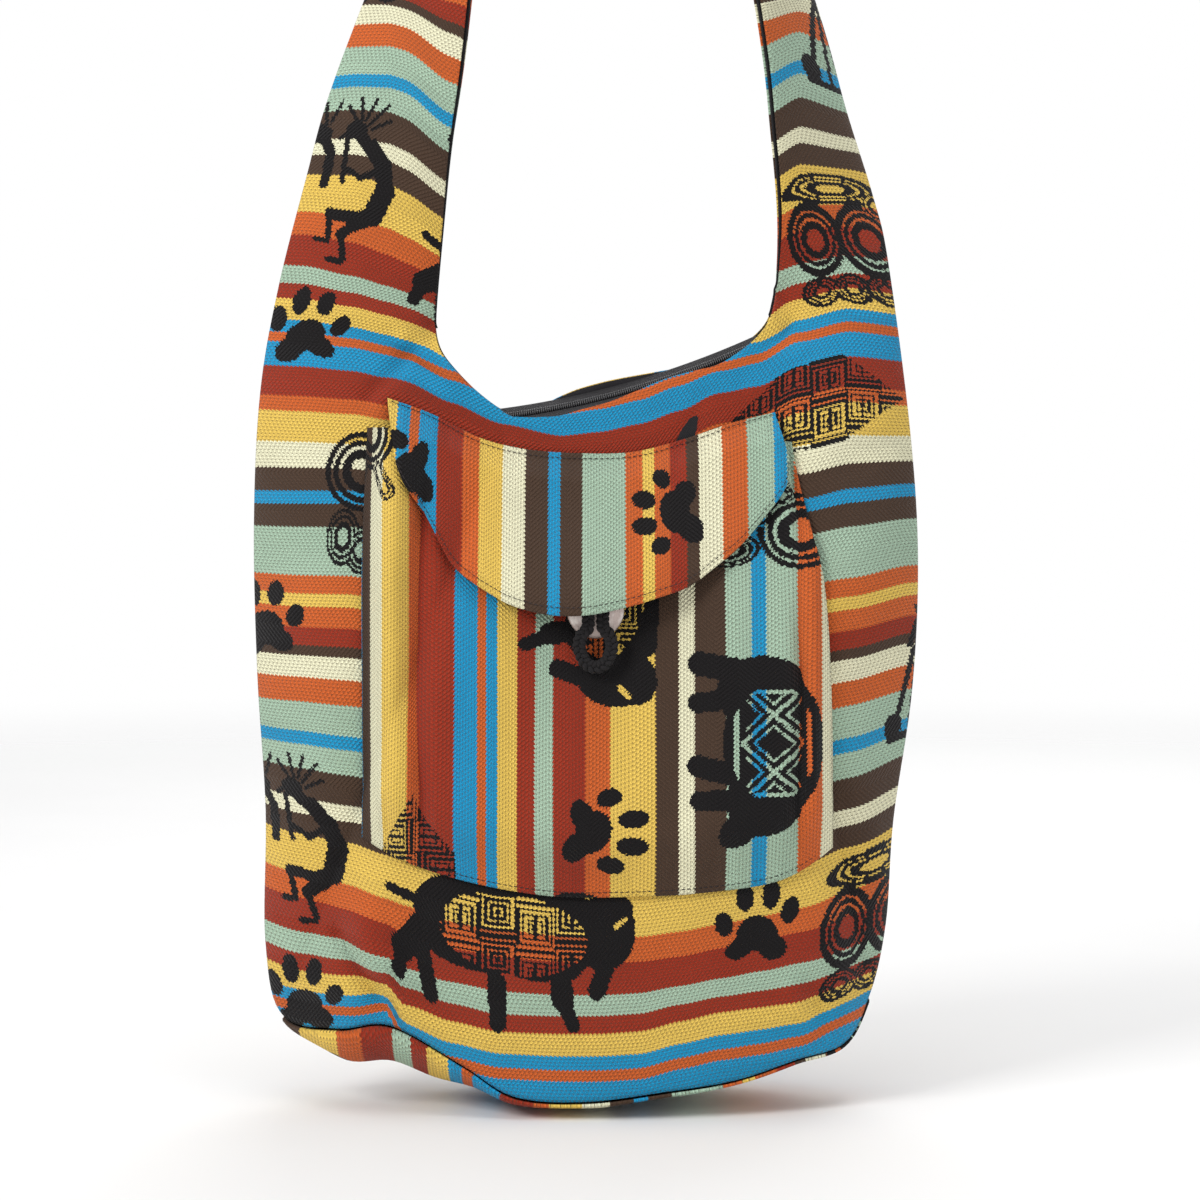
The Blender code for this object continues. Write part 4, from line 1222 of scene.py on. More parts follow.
def sheet_object(name: str, rows: list[list[Vector]], finish: bpy.types.Material, closed: bool = False,
                 reverse: bool = False, cloth: Optional[list[list[Point]]] = None,
                 break_row: Optional[int] = None, break_values: Optional[list[Point]] = None,
                 ) -> bpy.types.Object:
    """A sheet through rows of points.

    Args:
        name: the piece's name.
        rows: the points, in the bag's own heights.
        finish: its material.
        closed: the last row joins the first.
        reverse: turn the faces round.
        cloth: cloth coordinates of each point, for the UV map.
        break_row: a row whose faces on the side of lower rows take break_values instead.
        break_values: cloth coordinates of that row from its lower side.

    Returns:
        The new object.
    """
    count, columns = len(rows), len(rows[0])
    faces, corners_uv = [], []
    for row in range(count if closed else count - 1):
        after = (row + 1) % count
        for column in range(columns - 1):
            corners = [(row, column), (row, column + 1), (after, column + 1), (after, column)]
            if reverse:
                corners.reverse()
            faces.append([r * columns + c for r, c in corners])
            if cloth is not None:
                for r, c in corners:
                    crossing = r == break_row and row == break_row - 1
                    corners_uv.append(break_values[c] if crossing else cloth[r][c])
    made = mesh_object(name, [hang(point) for row in rows for point in row], [], faces, finish)
    if cloth is not None:
        layer = made.data.uv_layers.new(name="cloth")
        layer.data.foreach_set("uv", [value for pair in corners_uv for value in pair])
    return made


def settle(made: bpy.types.Object) -> bpy.types.Object:
    """Turn an object's finished shape into its plain mesh, without modifiers.

    Args:
        made: the object.

    Returns:
        The same object.
    """
    bpy.context.view_layer.update()
    graph = bpy.context.evaluated_depsgraph_get()
    mesh = bpy.data.meshes.new_from_object(made.evaluated_get(graph))
    made.modifiers.clear()
    made.data = mesh
    return made


def ring_object(name: str, rings: list[list[Vector]], finish: bpy.types.Material,
                capped: bool = False) -> bpy.types.Object:
    """A skin over rings of points; a ring of one point ends it in a tip.

    Args:
        name: the piece's name.
        rings: the rings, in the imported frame.
        finish: its material.
        capped: the first and the last ring are faces too.

    Returns:
        The new object.
    """
    shape, count = bmesh.new(), max(len(ring) for ring in rings)
    made = [[shape.verts.new(point) for point in ring] for ring in rings]
    for low, high in zip(made, made[1:]):
        for k in range(count):
            after = (k + 1) % count
            corners = (low[k % len(low)], low[after % len(low)],
                       high[after % len(high)], high[k % len(high)])
            shape.faces.new(list(dict.fromkeys(corners)))
    if capped:
        shape.faces.new(made[0][::-1])
        shape.faces.new(made[-1])
    bmesh.ops.recalc_face_normals(shape, faces=shape.faces)
    mesh = bpy.data.meshes.new(name)
    shape.to_mesh(mesh)
    shape.free()
    return place_object(name, mesh, finish)


def tube(name: str, route: list[Vector], radius: Callable[[int], float],
         finish: bpy.types.Material, sides: int = 10) -> bpy.types.Object:
    """A round bar along a route, capped at its ends.

    Args:
        name: the piece's name.
        route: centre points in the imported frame.
        radius: radius at a point's number.
        finish: its material.
        sides: corners of its section.

    Returns:
        The new object.
    """
    side, rings = Vector((0, -1, 0)), []
    for index, centre in enumerate(route):
        axis = (route[min(index + 1, len(route) - 1)] - route[max(index - 1, 0)]).normalized()
        side = (side - axis * side.dot(axis)).normalized()
        other = axis.cross(side)
        rings.append([centre + (side * math.cos(turn) + other * math.sin(turn)) * radius(index)
                      for turn in turns(sides)])
    return ring_object(name, rings, finish, capped=True)


def skin(tree: BVHTree, x: float, z: float) -> float:
    """Y of the first cloth that a line along +Y meets, at a place in the bag's own heights."""
    hit = tree.ray_cast(hang(Vector((x, -1.0, z))), Vector((0, 1, 0)))[0]
    return hit.y


def tree_of(made: bpy.types.Object) -> BVHTree:
    """Search tree of an object's finished mesh."""
    bpy.context.view_layer.update()
    return BVHTree.FromObject(made, bpy.context.evaluated_depsgraph_get())


class Repeat(Enum):
    """Shape that is repeated along a path."""

    STITCH = "stitch"
    COIL_TURN = "coil_turn"


@dataclass
class PathRepeat:
    """Geometry Nodes tree that lays one small shape along a path of edges."""

    shape: Repeat
    tree: bpy.types.NodeTree = field(init=False)

    def __post_init__(self) -> None:
        """Build the tree with its named inputs."""
        self.tree = bpy.data.node_groups.new(f"repeat_{self.shape.value}", "GeometryNodeTree")
        face = self.tree.interface
        face.new_socket("Geometry", in_out="INPUT", socket_type="NodeSocketGeometry")
        for name in ("Spacing", "Length", "Width"):
            face.new_socket(name, in_out="INPUT", socket_type="NodeSocketFloat")
        face.new_socket("Finish", in_out="INPUT", socket_type="NodeSocketMaterial")
        face.new_socket("Geometry", in_out="OUTPUT", socket_type="NodeSocketGeometry")
        graph = Graph(self.tree)
        entry = graph.node("NodeGroupInput").outputs
        curve = graph.node("GeometryNodeMeshToCurve", None, {"Mesh": entry["Geometry"]}).outputs[0]
        points = graph.node("GeometryNodeCurveToPoints", {"mode": "LENGTH"},
                            {"Curve": curve, "Length": entry["Spacing"]}).outputs
        part = self.stitch(graph, entry) if self.shape is Repeat.STITCH else self.turn(graph, entry)
        laid = graph.node("GeometryNodeInstanceOnPoints", None, {
            "Points": points["Points"], "Instance": part, "Rotation": points["Rotation"]}).outputs[0]
        real = graph.node("GeometryNodeRealizeInstances", None, {"Geometry": laid}).outputs[0]
        smooth = graph.node("GeometryNodeSetShadeSmooth", None, {"Geometry": real}).outputs[0]
        painted = graph.node("GeometryNodeSetMaterial", None,
                             {"Geometry": smooth, "Material": entry["Finish"]}).outputs[0]
        graph.node("NodeGroupOutput", None, {"Geometry": painted})

    @staticmethod
    def stitch(graph: Graph, entry: bpy.types.bpy_prop_collection) -> bpy.types.NodeSocket:
        """A stitch: a small ball drawn out along the path's Z.

        Args:
            graph: the tree.
            entry: the tree's inputs.

        Returns:
            Link of the shape.
        """
        ball = graph.node("GeometryNodeMeshUVSphere", None,
                          {"Segments": 8, "Rings": 6, "Radius": 0.5}).outputs[0]
        width = Wire(graph, entry["Width"])
        size = graph.join(width, width, Wire(graph, entry["Length"]))
        return graph.node("GeometryNodeTransform", None, {"Geometry": ball, "Scale": size}).outputs[0]

    @staticmethod
    def turn(graph: Graph, entry: bpy.types.bpy_prop_collection) -> bpy.types.NodeSocket:
        """One turn of the coil: a flattened ring across the path.

        Args:
            graph: the tree.
            entry: the tree's inputs.

        Returns:
            Link of the shape.
        """
        circle = graph.node("GeometryNodeCurvePrimitiveCircle", None, {"Resolution": 12, "Radius": 0.5})
        section = graph.node("GeometryNodeCurvePrimitiveCircle", None,
                             {"Resolution": 6, "Radius": 0.17}).outputs[0]
        ring = graph.node("GeometryNodeCurveToMesh", None,
                          {"Curve": circle.outputs[0], "Profile Curve": section}).outputs[0]
        size = graph.join(Wire(graph, entry["Width"]), Wire(graph, entry["Length"]),
                          Wire(graph, entry["Spacing"]) * 2.2)
        return graph.node("GeometryNodeTransform", None, {"Geometry": ring, "Scale": size}).outputs[0]

    def lay(self, name: str, route: list[Vector], spacing: float, length: float, width: float,
            finish: bpy.types.Material) -> bpy.types.Object:
        """Lay the shape along a route and keep the result as a plain mesh.

        Args:
            name: the piece's name.
            route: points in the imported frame.
            spacing: distance between two shapes.
            length: the shape's length, along the path or across it.
            width: the shape's width.
            finish: its material.

        Returns:
            The new piece.
        """
        made = mesh_object(name, route, [(i, i + 1) for i in range(len(route) - 1)], [], finish)
        change = made.modifiers.new("repeat", "NODES")
        change.node_group = self.tree
        values = {"Spacing": spacing, "Length": length, "Width": width, "Finish": finish}
        for item in self.tree.interface.items_tree:
            if item.in_out == "INPUT" and item.name in values:
                change[item.identifier] = values[item.name]
        return settle(made)


@dataclass
class Finishes:
    """Every finish of the bag, made once."""

    cloth: bpy.types.Material = field(default_factory=lambda: StripedCloth().make())
    lining: bpy.types.Material = field(default_factory=lambda: BlackCloth("black_lining").make())
    tape: bpy.types.Material = field(
        default_factory=lambda: BlackCloth("zip_tape_weave", 0.0007, linear(24, 23, 25)).make())
    nylon: bpy.types.Material = field(default_factory=lambda: Nylon().make())
    cord: bpy.types.Material = field(default_factory=lambda: Cord("black_cord").make())
    thread: bpy.types.Material = field(
        default_factory=lambda: Cord("dark_thread", 0.0004, linear(40, 34, 34)).make())
    lacquer: bpy.types.Material = field(default_factory=lambda: Metal(
        "lacquered_metal", linear(40, 40, 42), linear(120, 118, 116), 0.32).make())
    silver: bpy.types.Material = field(default_factory=lambda: Metal(
        "silvered_metal", linear(168, 154, 148), linear(206, 198, 192), 0.38).make())


def attach(piece: bpy.types.Object, slot: str, *nodes: str, body: str = "bag",
           cut: Optional[tuple[float, float, float]] = None) -> bpy.types.Object:
    """Let a piece ride on its body and hide the CAD nodes that it stands for.

    Args:
        piece: the finished piece.
        slot: the record's material slot; not used.
        nodes: CAD nodes that it stands for.
        body: the body that carries it.
        cut: a sheet's flat width, length and area before it was sewn; not used.

    Returns:
        The same piece.
    """
    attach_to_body(piece, body)
    if nodes:
        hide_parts(*nodes)
    columns = zip(*(corner.co for corner in piece.data.vertices))
    size = [round(1000 * (max(column) - min(column))) for column in columns]
    LOG.info("%s: %d corners, %s mm", piece.name, len(piece.data.vertices), size)
    return piece


def sew(made: bpy.types.Object, thickness: float, slot: str, node: str,
        cut: tuple[float, float, float]) -> bpy.types.Object:
    """Give a sheet its thickness on its outer side, and let it stand for a CAD node.

    Args:
        made: the sheet.
        thickness: its cloth's thickness.
        slot: the record's material slot.
        node: the CAD node.
        cut: its flat width, length and area.

    Returns:
        The finished piece.
    """
    wall = made.modifiers.new("wall", "SOLIDIFY")
    wall.thickness = thickness
    wall.offset = 1.0
    wall.use_even_offset = True
    return attach(settle(made), slot, node, cut=cut)


@dataclass
class BagBody:
    """Striped front, back and base, their lining and the black layer of the strap."""

    shape: BagShape
    finishes: Finishes
    columns: int = 56
    lining_slack: float = 0.0050
    rim_drop: float = 0.9
    piping: float = 0.0015
    strap_top: float = 0.6244
    strap_blend: float = 90.0
    strap_bow: float = 7.0
    strap_shift: float = 4.0
    base_u: float = 740.0
    base_v: float = 262.0
    base_from: float = 391.0
    base_stretch: float = 0.95
    front: bpy.types.Object = field(init=False)

    def build(self) -> None:
        """Build and dress every cloth of the body."""
        shares = [0.5 - 0.5 * math.cos(math.pi * (0.08 + 0.84 * k / self.columns))
                  for k in range(self.columns + 1)]
        low, high = shares[0], shares[-1]
        shares = [(share - low) / (high - low) for share in shares]
        for name, front in (("front_panel", True), ("back_panel", False)):
            made = self.panel(name, shares, front)
            sew(made, self.shape.cloth, "striped_cloth", name, PANEL_CUT)
            if front:
                self.front = made
        self.base()
        self.pouch()
        self.strap_layer()

    def panel(self, name: str, shares: list[float], front: bool) -> bpy.types.Object:
        """The front or back cloth, one ring round the mouth and the strap.

        Args:
            name: the CAD node.
            shares: places from inner to outer edge.
            front: front or back cloth.

        Returns:
            The new object.
        """
        shape, count = self.shape, len(self.shape.lines)
        rows = [[shape.point(index, share, front, folds=1.0) for share in shares]
                for index in range(count)]
        cloth = [[body_cloth(point, front) for point in row] for row in rows]
        seam: list[Point] = []
        for left in (True, False):
            lengths = shape.strap_lengths(left)
            start = min(lengths, key=lambda index: abs(
                (shape.lines[index].inner.z + shape.lines[index].outer.z) / 2 - self.strap_top))
            edge_u, edge_v = body_cloth(rows[start][-1], True)
            for index, length in lengths.items():
                part = fade((length - lengths[start]) / self.strap_blend + 1 / 3)
                span = (shape.lines[index].outer - shape.lines[index].inner).length / STEP
                values = []
                for column, share in enumerate(shares):
                    across = span * (1 - share)
                    bow = -self.strap_bow * math.sin(math.pi * share)
                    u = edge_u + (across if left else -across)
                    if not front:
                        u = BACK_TURN - u
                    v = edge_v + (lengths[start] - length) + bow - (0 if left else self.strap_shift)
                    old = cloth[index][column] if left or index != shape.samples else (u, v)
                    values.append((old[0] * (1 - part) + u * part, old[1] * (1 - part) + v * part))
                if index == shape.samples and not left:
                    seam = values
                else:
                    cloth[index] = values
        return sheet_object(f"sewn_{name}", rows, self.finishes.cloth, True, not front, cloth,
                            shape.samples, seam)

    def base(self) -> None:
        """The oval base, which sags between the lower seams; its stripes run front to back."""
        shape, columns = self.shape, 26
        rows, cloth = [], []
        for index in range(shape.ends[2], shape.starts[4] + 1):
            line, normal = shape.lines[index], shape.normals[index]
            front = shape.point(index, 1.0, True) + normal * shape.cloth
            back = shape.point(index, 1.0, False) - normal * shape.cloth
            row = []
            for column in range(columns + 1):
                across = column / columns
                hang_down = line.sag * (4 * across * (1 - across)) ** 0.7
                ripple = 0.0012 * math.sin(line.outer.x * 130) * math.sin(math.pi * across)
                down = shape.touch + self.rim_drop * shape.cloth + hang_down + ripple
                row.append(front.lerp(back, across) - Vector((0, 0, down)))
            rows.append(row)
            cloth.append([(self.base_u + p.y / STEP, self.base_v
                           + (SHIFT_X + p.x / STEP - self.base_from) * self.base_stretch) for p in row])
        made = sheet_object("sewn_base", rows, self.finishes.cloth, cloth=cloth)
        sew(made, shape.cloth, "striped_cloth", "base_panel", BASE_CUT)

    def lining_point(self, index: int, share: float, front: bool) -> Vector:
        """Inner face of the lining, which hangs slack inside the cloth and is sewn to the zip.

        Args:
            index: line of the ring.
            share: from inner, 0, to outer, 1.
            front: front or back lining.

        Returns:
            The place in the bag's own heights.
        """
        at_tape = self.shape.touch + self.shape.lining
        slack = at_tape + (self.lining_slack - at_tape) * fade((share - 0.10) * 5)
        point = self.shape.point(index, share, front, slack)
        return point + Vector((0, 0.0006 * math.sin(point.x * 160 + point.z * 90) * fade(share * 4), 0))

    def pouch(self) -> None:
        """The black lining of the main compartment."""
        shape = self.shape
        start, end = shape.starts[2], shape.starts[5] - 3 * shape.samples
        shares = [0.001] + [0.012 + 0.908 * k / 24 for k in range(25)]
        for name, front in (("lining_front", True), ("lining_back", False)):
            rows = [[self.lining_point(index, share, front) for share in shares]
                    for index in range(start, end, 2)]
            made = sheet_object(f"sewn_{name}", rows, self.finishes.lining, reverse=not front)
            sew(made, shape.lining, "lining_cloth", name, LINING_CUT)
        rows = []
        for index in range(shape.ends[2] + 5, shape.starts[4] - 4, 2):
            front, back = self.lining_point(index, 0.92, True), self.lining_point(index, 0.92, False)
            rows.append([front.lerp(back, k / 12) - Vector((0, 0, shape.touch)) for k in range(13)])
        made = sheet_object("pouch_base", rows, self.finishes.lining)
        sew(made, shape.lining, "lining_cloth", "lining_base", LINING_BASE_CUT)

    def strap_layer(self) -> None:
        """Black layer between the strap's cloths, which shows as a fine line past its inner edge."""
        shape = self.shape
        order = [*range(shape.starts[5] - 3 * shape.samples, len(shape.lines)), *range(shape.starts[2])]
        rows = []
        for index in order:
            line, normal = shape.lines[index], shape.normals[index]
            edge = (line.outer - line.inner).normalized()
            row = [line.inner - edge * self.piping]
            row += [line.inner.lerp(line.outer, share) for share in (0.0, 0.13, 0.26, 0.50, 0.73)]
            rows.append([point - normal * shape.lining / 2 for point in row])
        made = sheet_object("strap_inner_layer", rows, self.finishes.lining)
        sew(made, shape.lining, "lining_cloth", "strap_lining", STRAP_CUT)


@dataclass
class Zip:
    """Tapes and coil of the zip, on an arc about an axis along Y; its metal keeps its CAD shape."""

    finishes: Finishes
    radius: float = 0.526
    centre_x: float = -0.116
    sag: float = 0.009
    start_x: float = -0.0665
    end_x: float = 0.1010
    tilt: float = math.radians(23)
    hem: float = 0.0045
    tape: float = 0.0006
    coil_width: float = 0.0022
    coil_height: float = 0.0026
    split: float = 0.0012
    stop: float = 0.0025
    pitch: float = 0.00125

    def build(self, shape: BagShape) -> None:
        """Build the tapes and the coil, and give the CAD metal its finish.

        Args:
            shape: the bag's sizes.
        """
        self.centre = Vector((self.centre_x, 0, shape.mouth - self.sag + self.radius))
        repeat = PathRepeat(Repeat.COIL_TURN)
        start, end = self.angle(self.start_x), self.angle(self.end_x)
        gap = (self.stop + shape.touch + self.pitch) / self.radius
        for name, side in (("front", -1), ("back", 1)):
            self.tape_piece(f"zip_tape_{name}", side, start, end, shape)
            route = []
            for step in range(161):
                place, across, _ = self.frame(start + gap + (end - start - 2 * gap) * step / 160)
                route.append(hang(place + across * side * (self.split / 2 + self.coil_width / 2)))
            coil = repeat.lay(f"nylon_coil_{name}", route, self.pitch, self.coil_height * 0.80,
                              self.coil_width * 0.80, self.finishes.nylon)
            attach(coil, "zip_coil", f"zip_coil_{name}")
        for node in ("zip_slider", "zip_pull", "zip_top_stop_front", "zip_top_stop_back",
                     "zip_bottom_stop"):
            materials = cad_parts[node].data.materials
            materials.clear()
            materials.append(self.finishes.lacquer)

    def angle(self, x: float) -> float:
        """Angle of the arc at a place along X."""
        return math.asin((x - self.centre.x) / self.radius)

    def frame(self, angle: float) -> tuple[Vector, Vector, Vector]:
        """Chain point, direction across it and out of its face.

        Args:
            angle: angle of the arc.

        Returns:
            The three vectors.
        """
        toward, back = Vector((-math.sin(angle), 0, math.cos(angle))), Vector((0, 1, 0))
        across = back * math.cos(self.tilt) + toward * math.sin(self.tilt)
        face = toward * math.cos(self.tilt) - back * math.sin(self.tilt)
        return self.centre - toward * self.radius, across, face

    def tape_piece(self, name: str, side: int, start: float, end: float, shape: BagShape) -> None:
        """One tape: flat beside the coil with a fine rib, then turned down to its seam.

        Args:
            name: the CAD node.
            side: -1 in front, 1 behind.
            start, end: angles of the tape's ends.
            shape: the bag's sizes.
        """
        inner = self.split / 2 + self.coil_width + shape.touch
        outer = (shape.gap / 2 - 2 * shape.touch - shape.lining - self.tape / 2) / math.cos(self.tilt)
        turn = (-math.sin(self.tilt), -math.cos(self.tilt))
        section = [(side * (inner + (outer - inner) * k / 8),
                    0.00018 * math.sin(math.pi * k / 8 * 3) ** 2) for k in range(9)]
        section += [(side * outer + turn[0] * self.hem * k / 4, turn[1] * self.hem * k / 4)
                    for k in range(1, 5)]
        rows = []
        for step in range(97):
            place, across, face = self.frame(start + (end - start) * step / 96)
            rows.append([place + across * u + face * (v - self.tape / 2) for u, v in section])
        made = sheet_object(f"woven_{name}", rows, self.finishes.tape, reverse=side < 0)
        sew(made, self.tape, "zip_tape", name, TAPE_CUT)


@dataclass
class Pocket:
    """Patch pocket and its rounded flap, laid over the front cloth."""

    finishes: Finishes
    width: float = 0.262
    x: float = 0.008
    bottom: float = 0.124
    swell_out: float = 0.015
    below_flap: float = 0.017
    flap_width: float = 0.226
    flap_x: float = 0.003
    flap_top: float = 0.3700
    flap_drop: float = 0.089
    flap_layer: float = 0.0010
    clearance: float = 0.0036
    seat: float = 0.0014
    layer_step: float = 0.0021
    sewn_gap: float = 0.0012
    button_x: float = 0.007
    button_z: float = 0.283
    button_size: float = 0.032
    dent: float = 0.0050
    pleat_lean: float = 10.0
    # The shank, the button, the cord and the gaps between them, all under the flap.
    lift: float = 0.0188
    stitch_pitch: float = 0.0031
    stitch_length: float = 0.0024
    stitch_width: float = 0.00055

    PLEATS = ((398, -1, 14, 0.0058), (428, -1, 11, -0.0084), (790, 1, 9, -0.0060), (813, 0, 10, 0.0036))
    LOWER = ((-1.0, 0.031), (-0.80, 0.018), (-0.52, 0.007), (-0.20, 0.0), (0.10, -0.0005),
             (0.45, 0.002), (0.78, 0.0085), (1.0, 0.025))
    LEFT = ((-1.0, 0.0), (-1.0, 0.33), (-1.0, 0.66), (-0.985, 1.0))
    RIGHT = ((1.0, 0.0), (0.995, 0.45), (0.955, 0.76), (0.835, 1.0))
    FLAP_UPPER = ((-1.0, 0.031), (-0.78, 0.022), (-0.55, 0.009), (-0.33, 0.0025), (-0.06, 0.0),
                  (0.21, 0.0005), (0.45, 0.007), (0.72, 0.017), (0.93, 0.023))
    FLAP_LOWER = ((-0.95, 0.04), (-0.90, 0.19), (-0.82, 0.35), (-0.745, 0.52), (-0.665, 0.70),
                  (-0.585, 0.79), (-0.46, 0.89), (-0.36, 0.95), (-0.20, 1.0), (0.0, 1.0),
                  (0.20, 0.95), (0.33, 0.90), (0.49, 0.83), (0.62, 0.71),
                  (0.76, 0.56), (0.90, 0.35), (0.99, 0.17), (0.99, 0.012))

    def build(self, front: bpy.types.Object, shape: BagShape) -> None:
        """Build the pocket, the flap, its lining and their top-stitches.

        Args:
            front: the bag's front cloth.
            shape: the bag's sizes.
        """
        self.front = tree_of(front)
        columns, rows_count = 150, 96
        rows = [[self.pocket_place(c / columns, r / rows_count) for c in range(columns + 1)]
                for r in range(rows_count + 1)]
        cloth = turned_cloth(rows, POCKET_ACROSS, POCKET_SHIFT, 1)
        made = sheet_object("patch_pocket", rows, self.finishes.cloth, cloth=cloth)
        sew(made, shape.cloth, "striped_cloth", "pocket", POCKET_CUT)
        self.pocket = tree_of(made)
        lining = self.flap_rows(0.0, 80, 40)
        made = sheet_object("flap_under_layer", lining, self.finishes.lining)
        sew(made, shape.lining, "lining_cloth", "flap_lining", FLAP_CUT)
        upper = self.flap_rows(self.layer_step, 130, 60)
        cloth = turned_cloth(upper, FLAP_ACROSS, FLAP_SHIFT, -1)
        flap = sheet_object("flap_upper_layer", upper, self.finishes.cloth, cloth=cloth)
        sew(flap, self.flap_layer, "striped_cloth", "flap", FLAP_CUT)
        self.stitch(upper)

    def stitch(self, upper: list[list[Vector]]) -> None:
        """Dark top-stitches inside the flap's edges and along the pocket's seam.

        Args:
            upper: points of the flap's upper layer.
        """
        repeat, out = PathRepeat(Repeat.STITCH), Vector((0, -1, 0))
        rows, columns = len(upper) - 1, len(upper[0]) - 1

        def lay(name: str, points: list[Vector], proud: float) -> None:
            """One row of stitches a little proud of the cloth.

            Args:
                name: the piece's name.
                points: its route.
                proud: distance from the route.
            """
            piece = repeat.lay(name, [hang(p) + out * proud for p in points], self.stitch_pitch,
                               self.stitch_length, self.stitch_width, self.finishes.thread)
            attach(piece, "cord")

        lay("flap_edge_stitches", [upper[round(rows * 0.945)][c] for c in range(4, columns - 3)],
            self.flap_layer + 0.0001)
        lay("flap_top_stitches", [upper[2][c] for c in range(3, columns - 2)], self.flap_layer + 0.0001)
        lower = [self.pocket_place(c / 120, 0.012) for c in range(3, 118)]
        lay("pocket_lower_stitches", lower, 0.0017)

    def flap_seam(self, x: float) -> float:
        """Height of the flap's upper seam over a place along X."""
        side = min(max((x - self.flap_x) / (self.flap_width / 2), -1.0), 0.93)
        return self.flap_top + straight_value(self.FLAP_UPPER, side)

    def pocket_place(self, across: float, up: float) -> Vector:
        """A point of the pocket, from shares across and up.

        Args:
            across, up: shares of the pocket's width and height.

        Returns:
            The place in the bag's own heights.
        """
        left, right = along_points(self.LEFT, up), along_points(self.RIGHT, up)
        lower = along_points(self.LOWER, across)
        side = lower.x + (left.x + (right.x - left.x) * across - lower.x) * fade(up * 4)
        x = self.x + side * self.width / 2
        bottom = self.bottom + lower.y
        z = bottom + (self.flap_seam(x) - self.below_flap - bottom) * up
        sides = fade(across / 0.075) * fade((1 - across) / 0.05)
        height = self.swell_out * sides * fade(up / 0.16) * (1 - 0.4 * up ** 3)
        height -= self.dent * self.near_button(x, z) * min(height / self.swell_out, 1.0)
        px = SHIFT_X + x / STEP
        ends = fade(up * 5) * fade((1 - up) * 5)
        lean = self.pleat_lean * math.sin(up * 3.0)
        height += ends * sum(amount * math.exp(-((px - place - side * lean) / reach) ** 2)
                             for place, side, reach, amount in self.PLEATS)
        ripple = 0.0016 * math.sin(px * 0.045 + up * 2.2) + 0.0010 * math.sin(px * 0.083 - up * 4.0)
        height += ends * sides * ripple
        height = max(height, 0.0)
        return Vector((x, skin(self.front, x, z) - self.sewn_gap - height, z))

    def near_button(self, x: float, z: float) -> float:
        """Share of the button's dent at a place in X and Z."""
        away = math.hypot(x - self.button_x, z - self.button_z) / self.button_size
        return math.exp(-away ** 2)

    def pocket_front(self, x: float, z: float) -> float:
        """Y of the pocket's front, carried on past its own edges.

        Args:
            x, z: place in the bag's own heights.

        Returns:
            Y of the cloth.
        """
        height = min(z, self.flap_seam(x) - self.below_flap - 0.0016)
        hit = self.pocket.ray_cast(hang(Vector((x, -1.0, height))), Vector((0, 1, 0)))[0]
        here = skin(self.front, x, z)
        if hit is None:
            return here
        return min(here, hit.y + here - skin(self.front, x, height))

    def flap_rows(self, layer: float, columns: int, count: int) -> list[list[Vector]]:
        """Rows of one layer of the flap, over the pocket's upper edge and its front.

        Args:
            layer: distance in front of the lowest layer.
            columns, count: steps across and down.

        Returns:
            The rows of points.
        """
        rows = []
        for r in range(count + 1):
            down, row = r / count, []
            for c in range(columns + 1):
                upper = along_points(self.FLAP_UPPER, c / columns)
                lower = along_points(self.FLAP_LOWER, c / columns)
                x = self.flap_x + (upper.x + (lower.x - upper.x) * down) * self.flap_width / 2
                top, bottom = self.flap_top + upper.y, self.flap_top - lower.y * self.flap_drop
                z = top + (bottom - top) * down
                ramp = fade((self.flap_seam(x) - z) / self.below_flap)
                rest = self.pocket_front(x, z) - self.clearance
                rest -= self.lift * self.near_button(x, z) ** 0.5
                y = (skin(self.front, x, z) - self.seat) * (1 - ramp) + rest * ramp - layer
                row.append(Vector((x, y, z)))
            rows.append(row)
        return rows


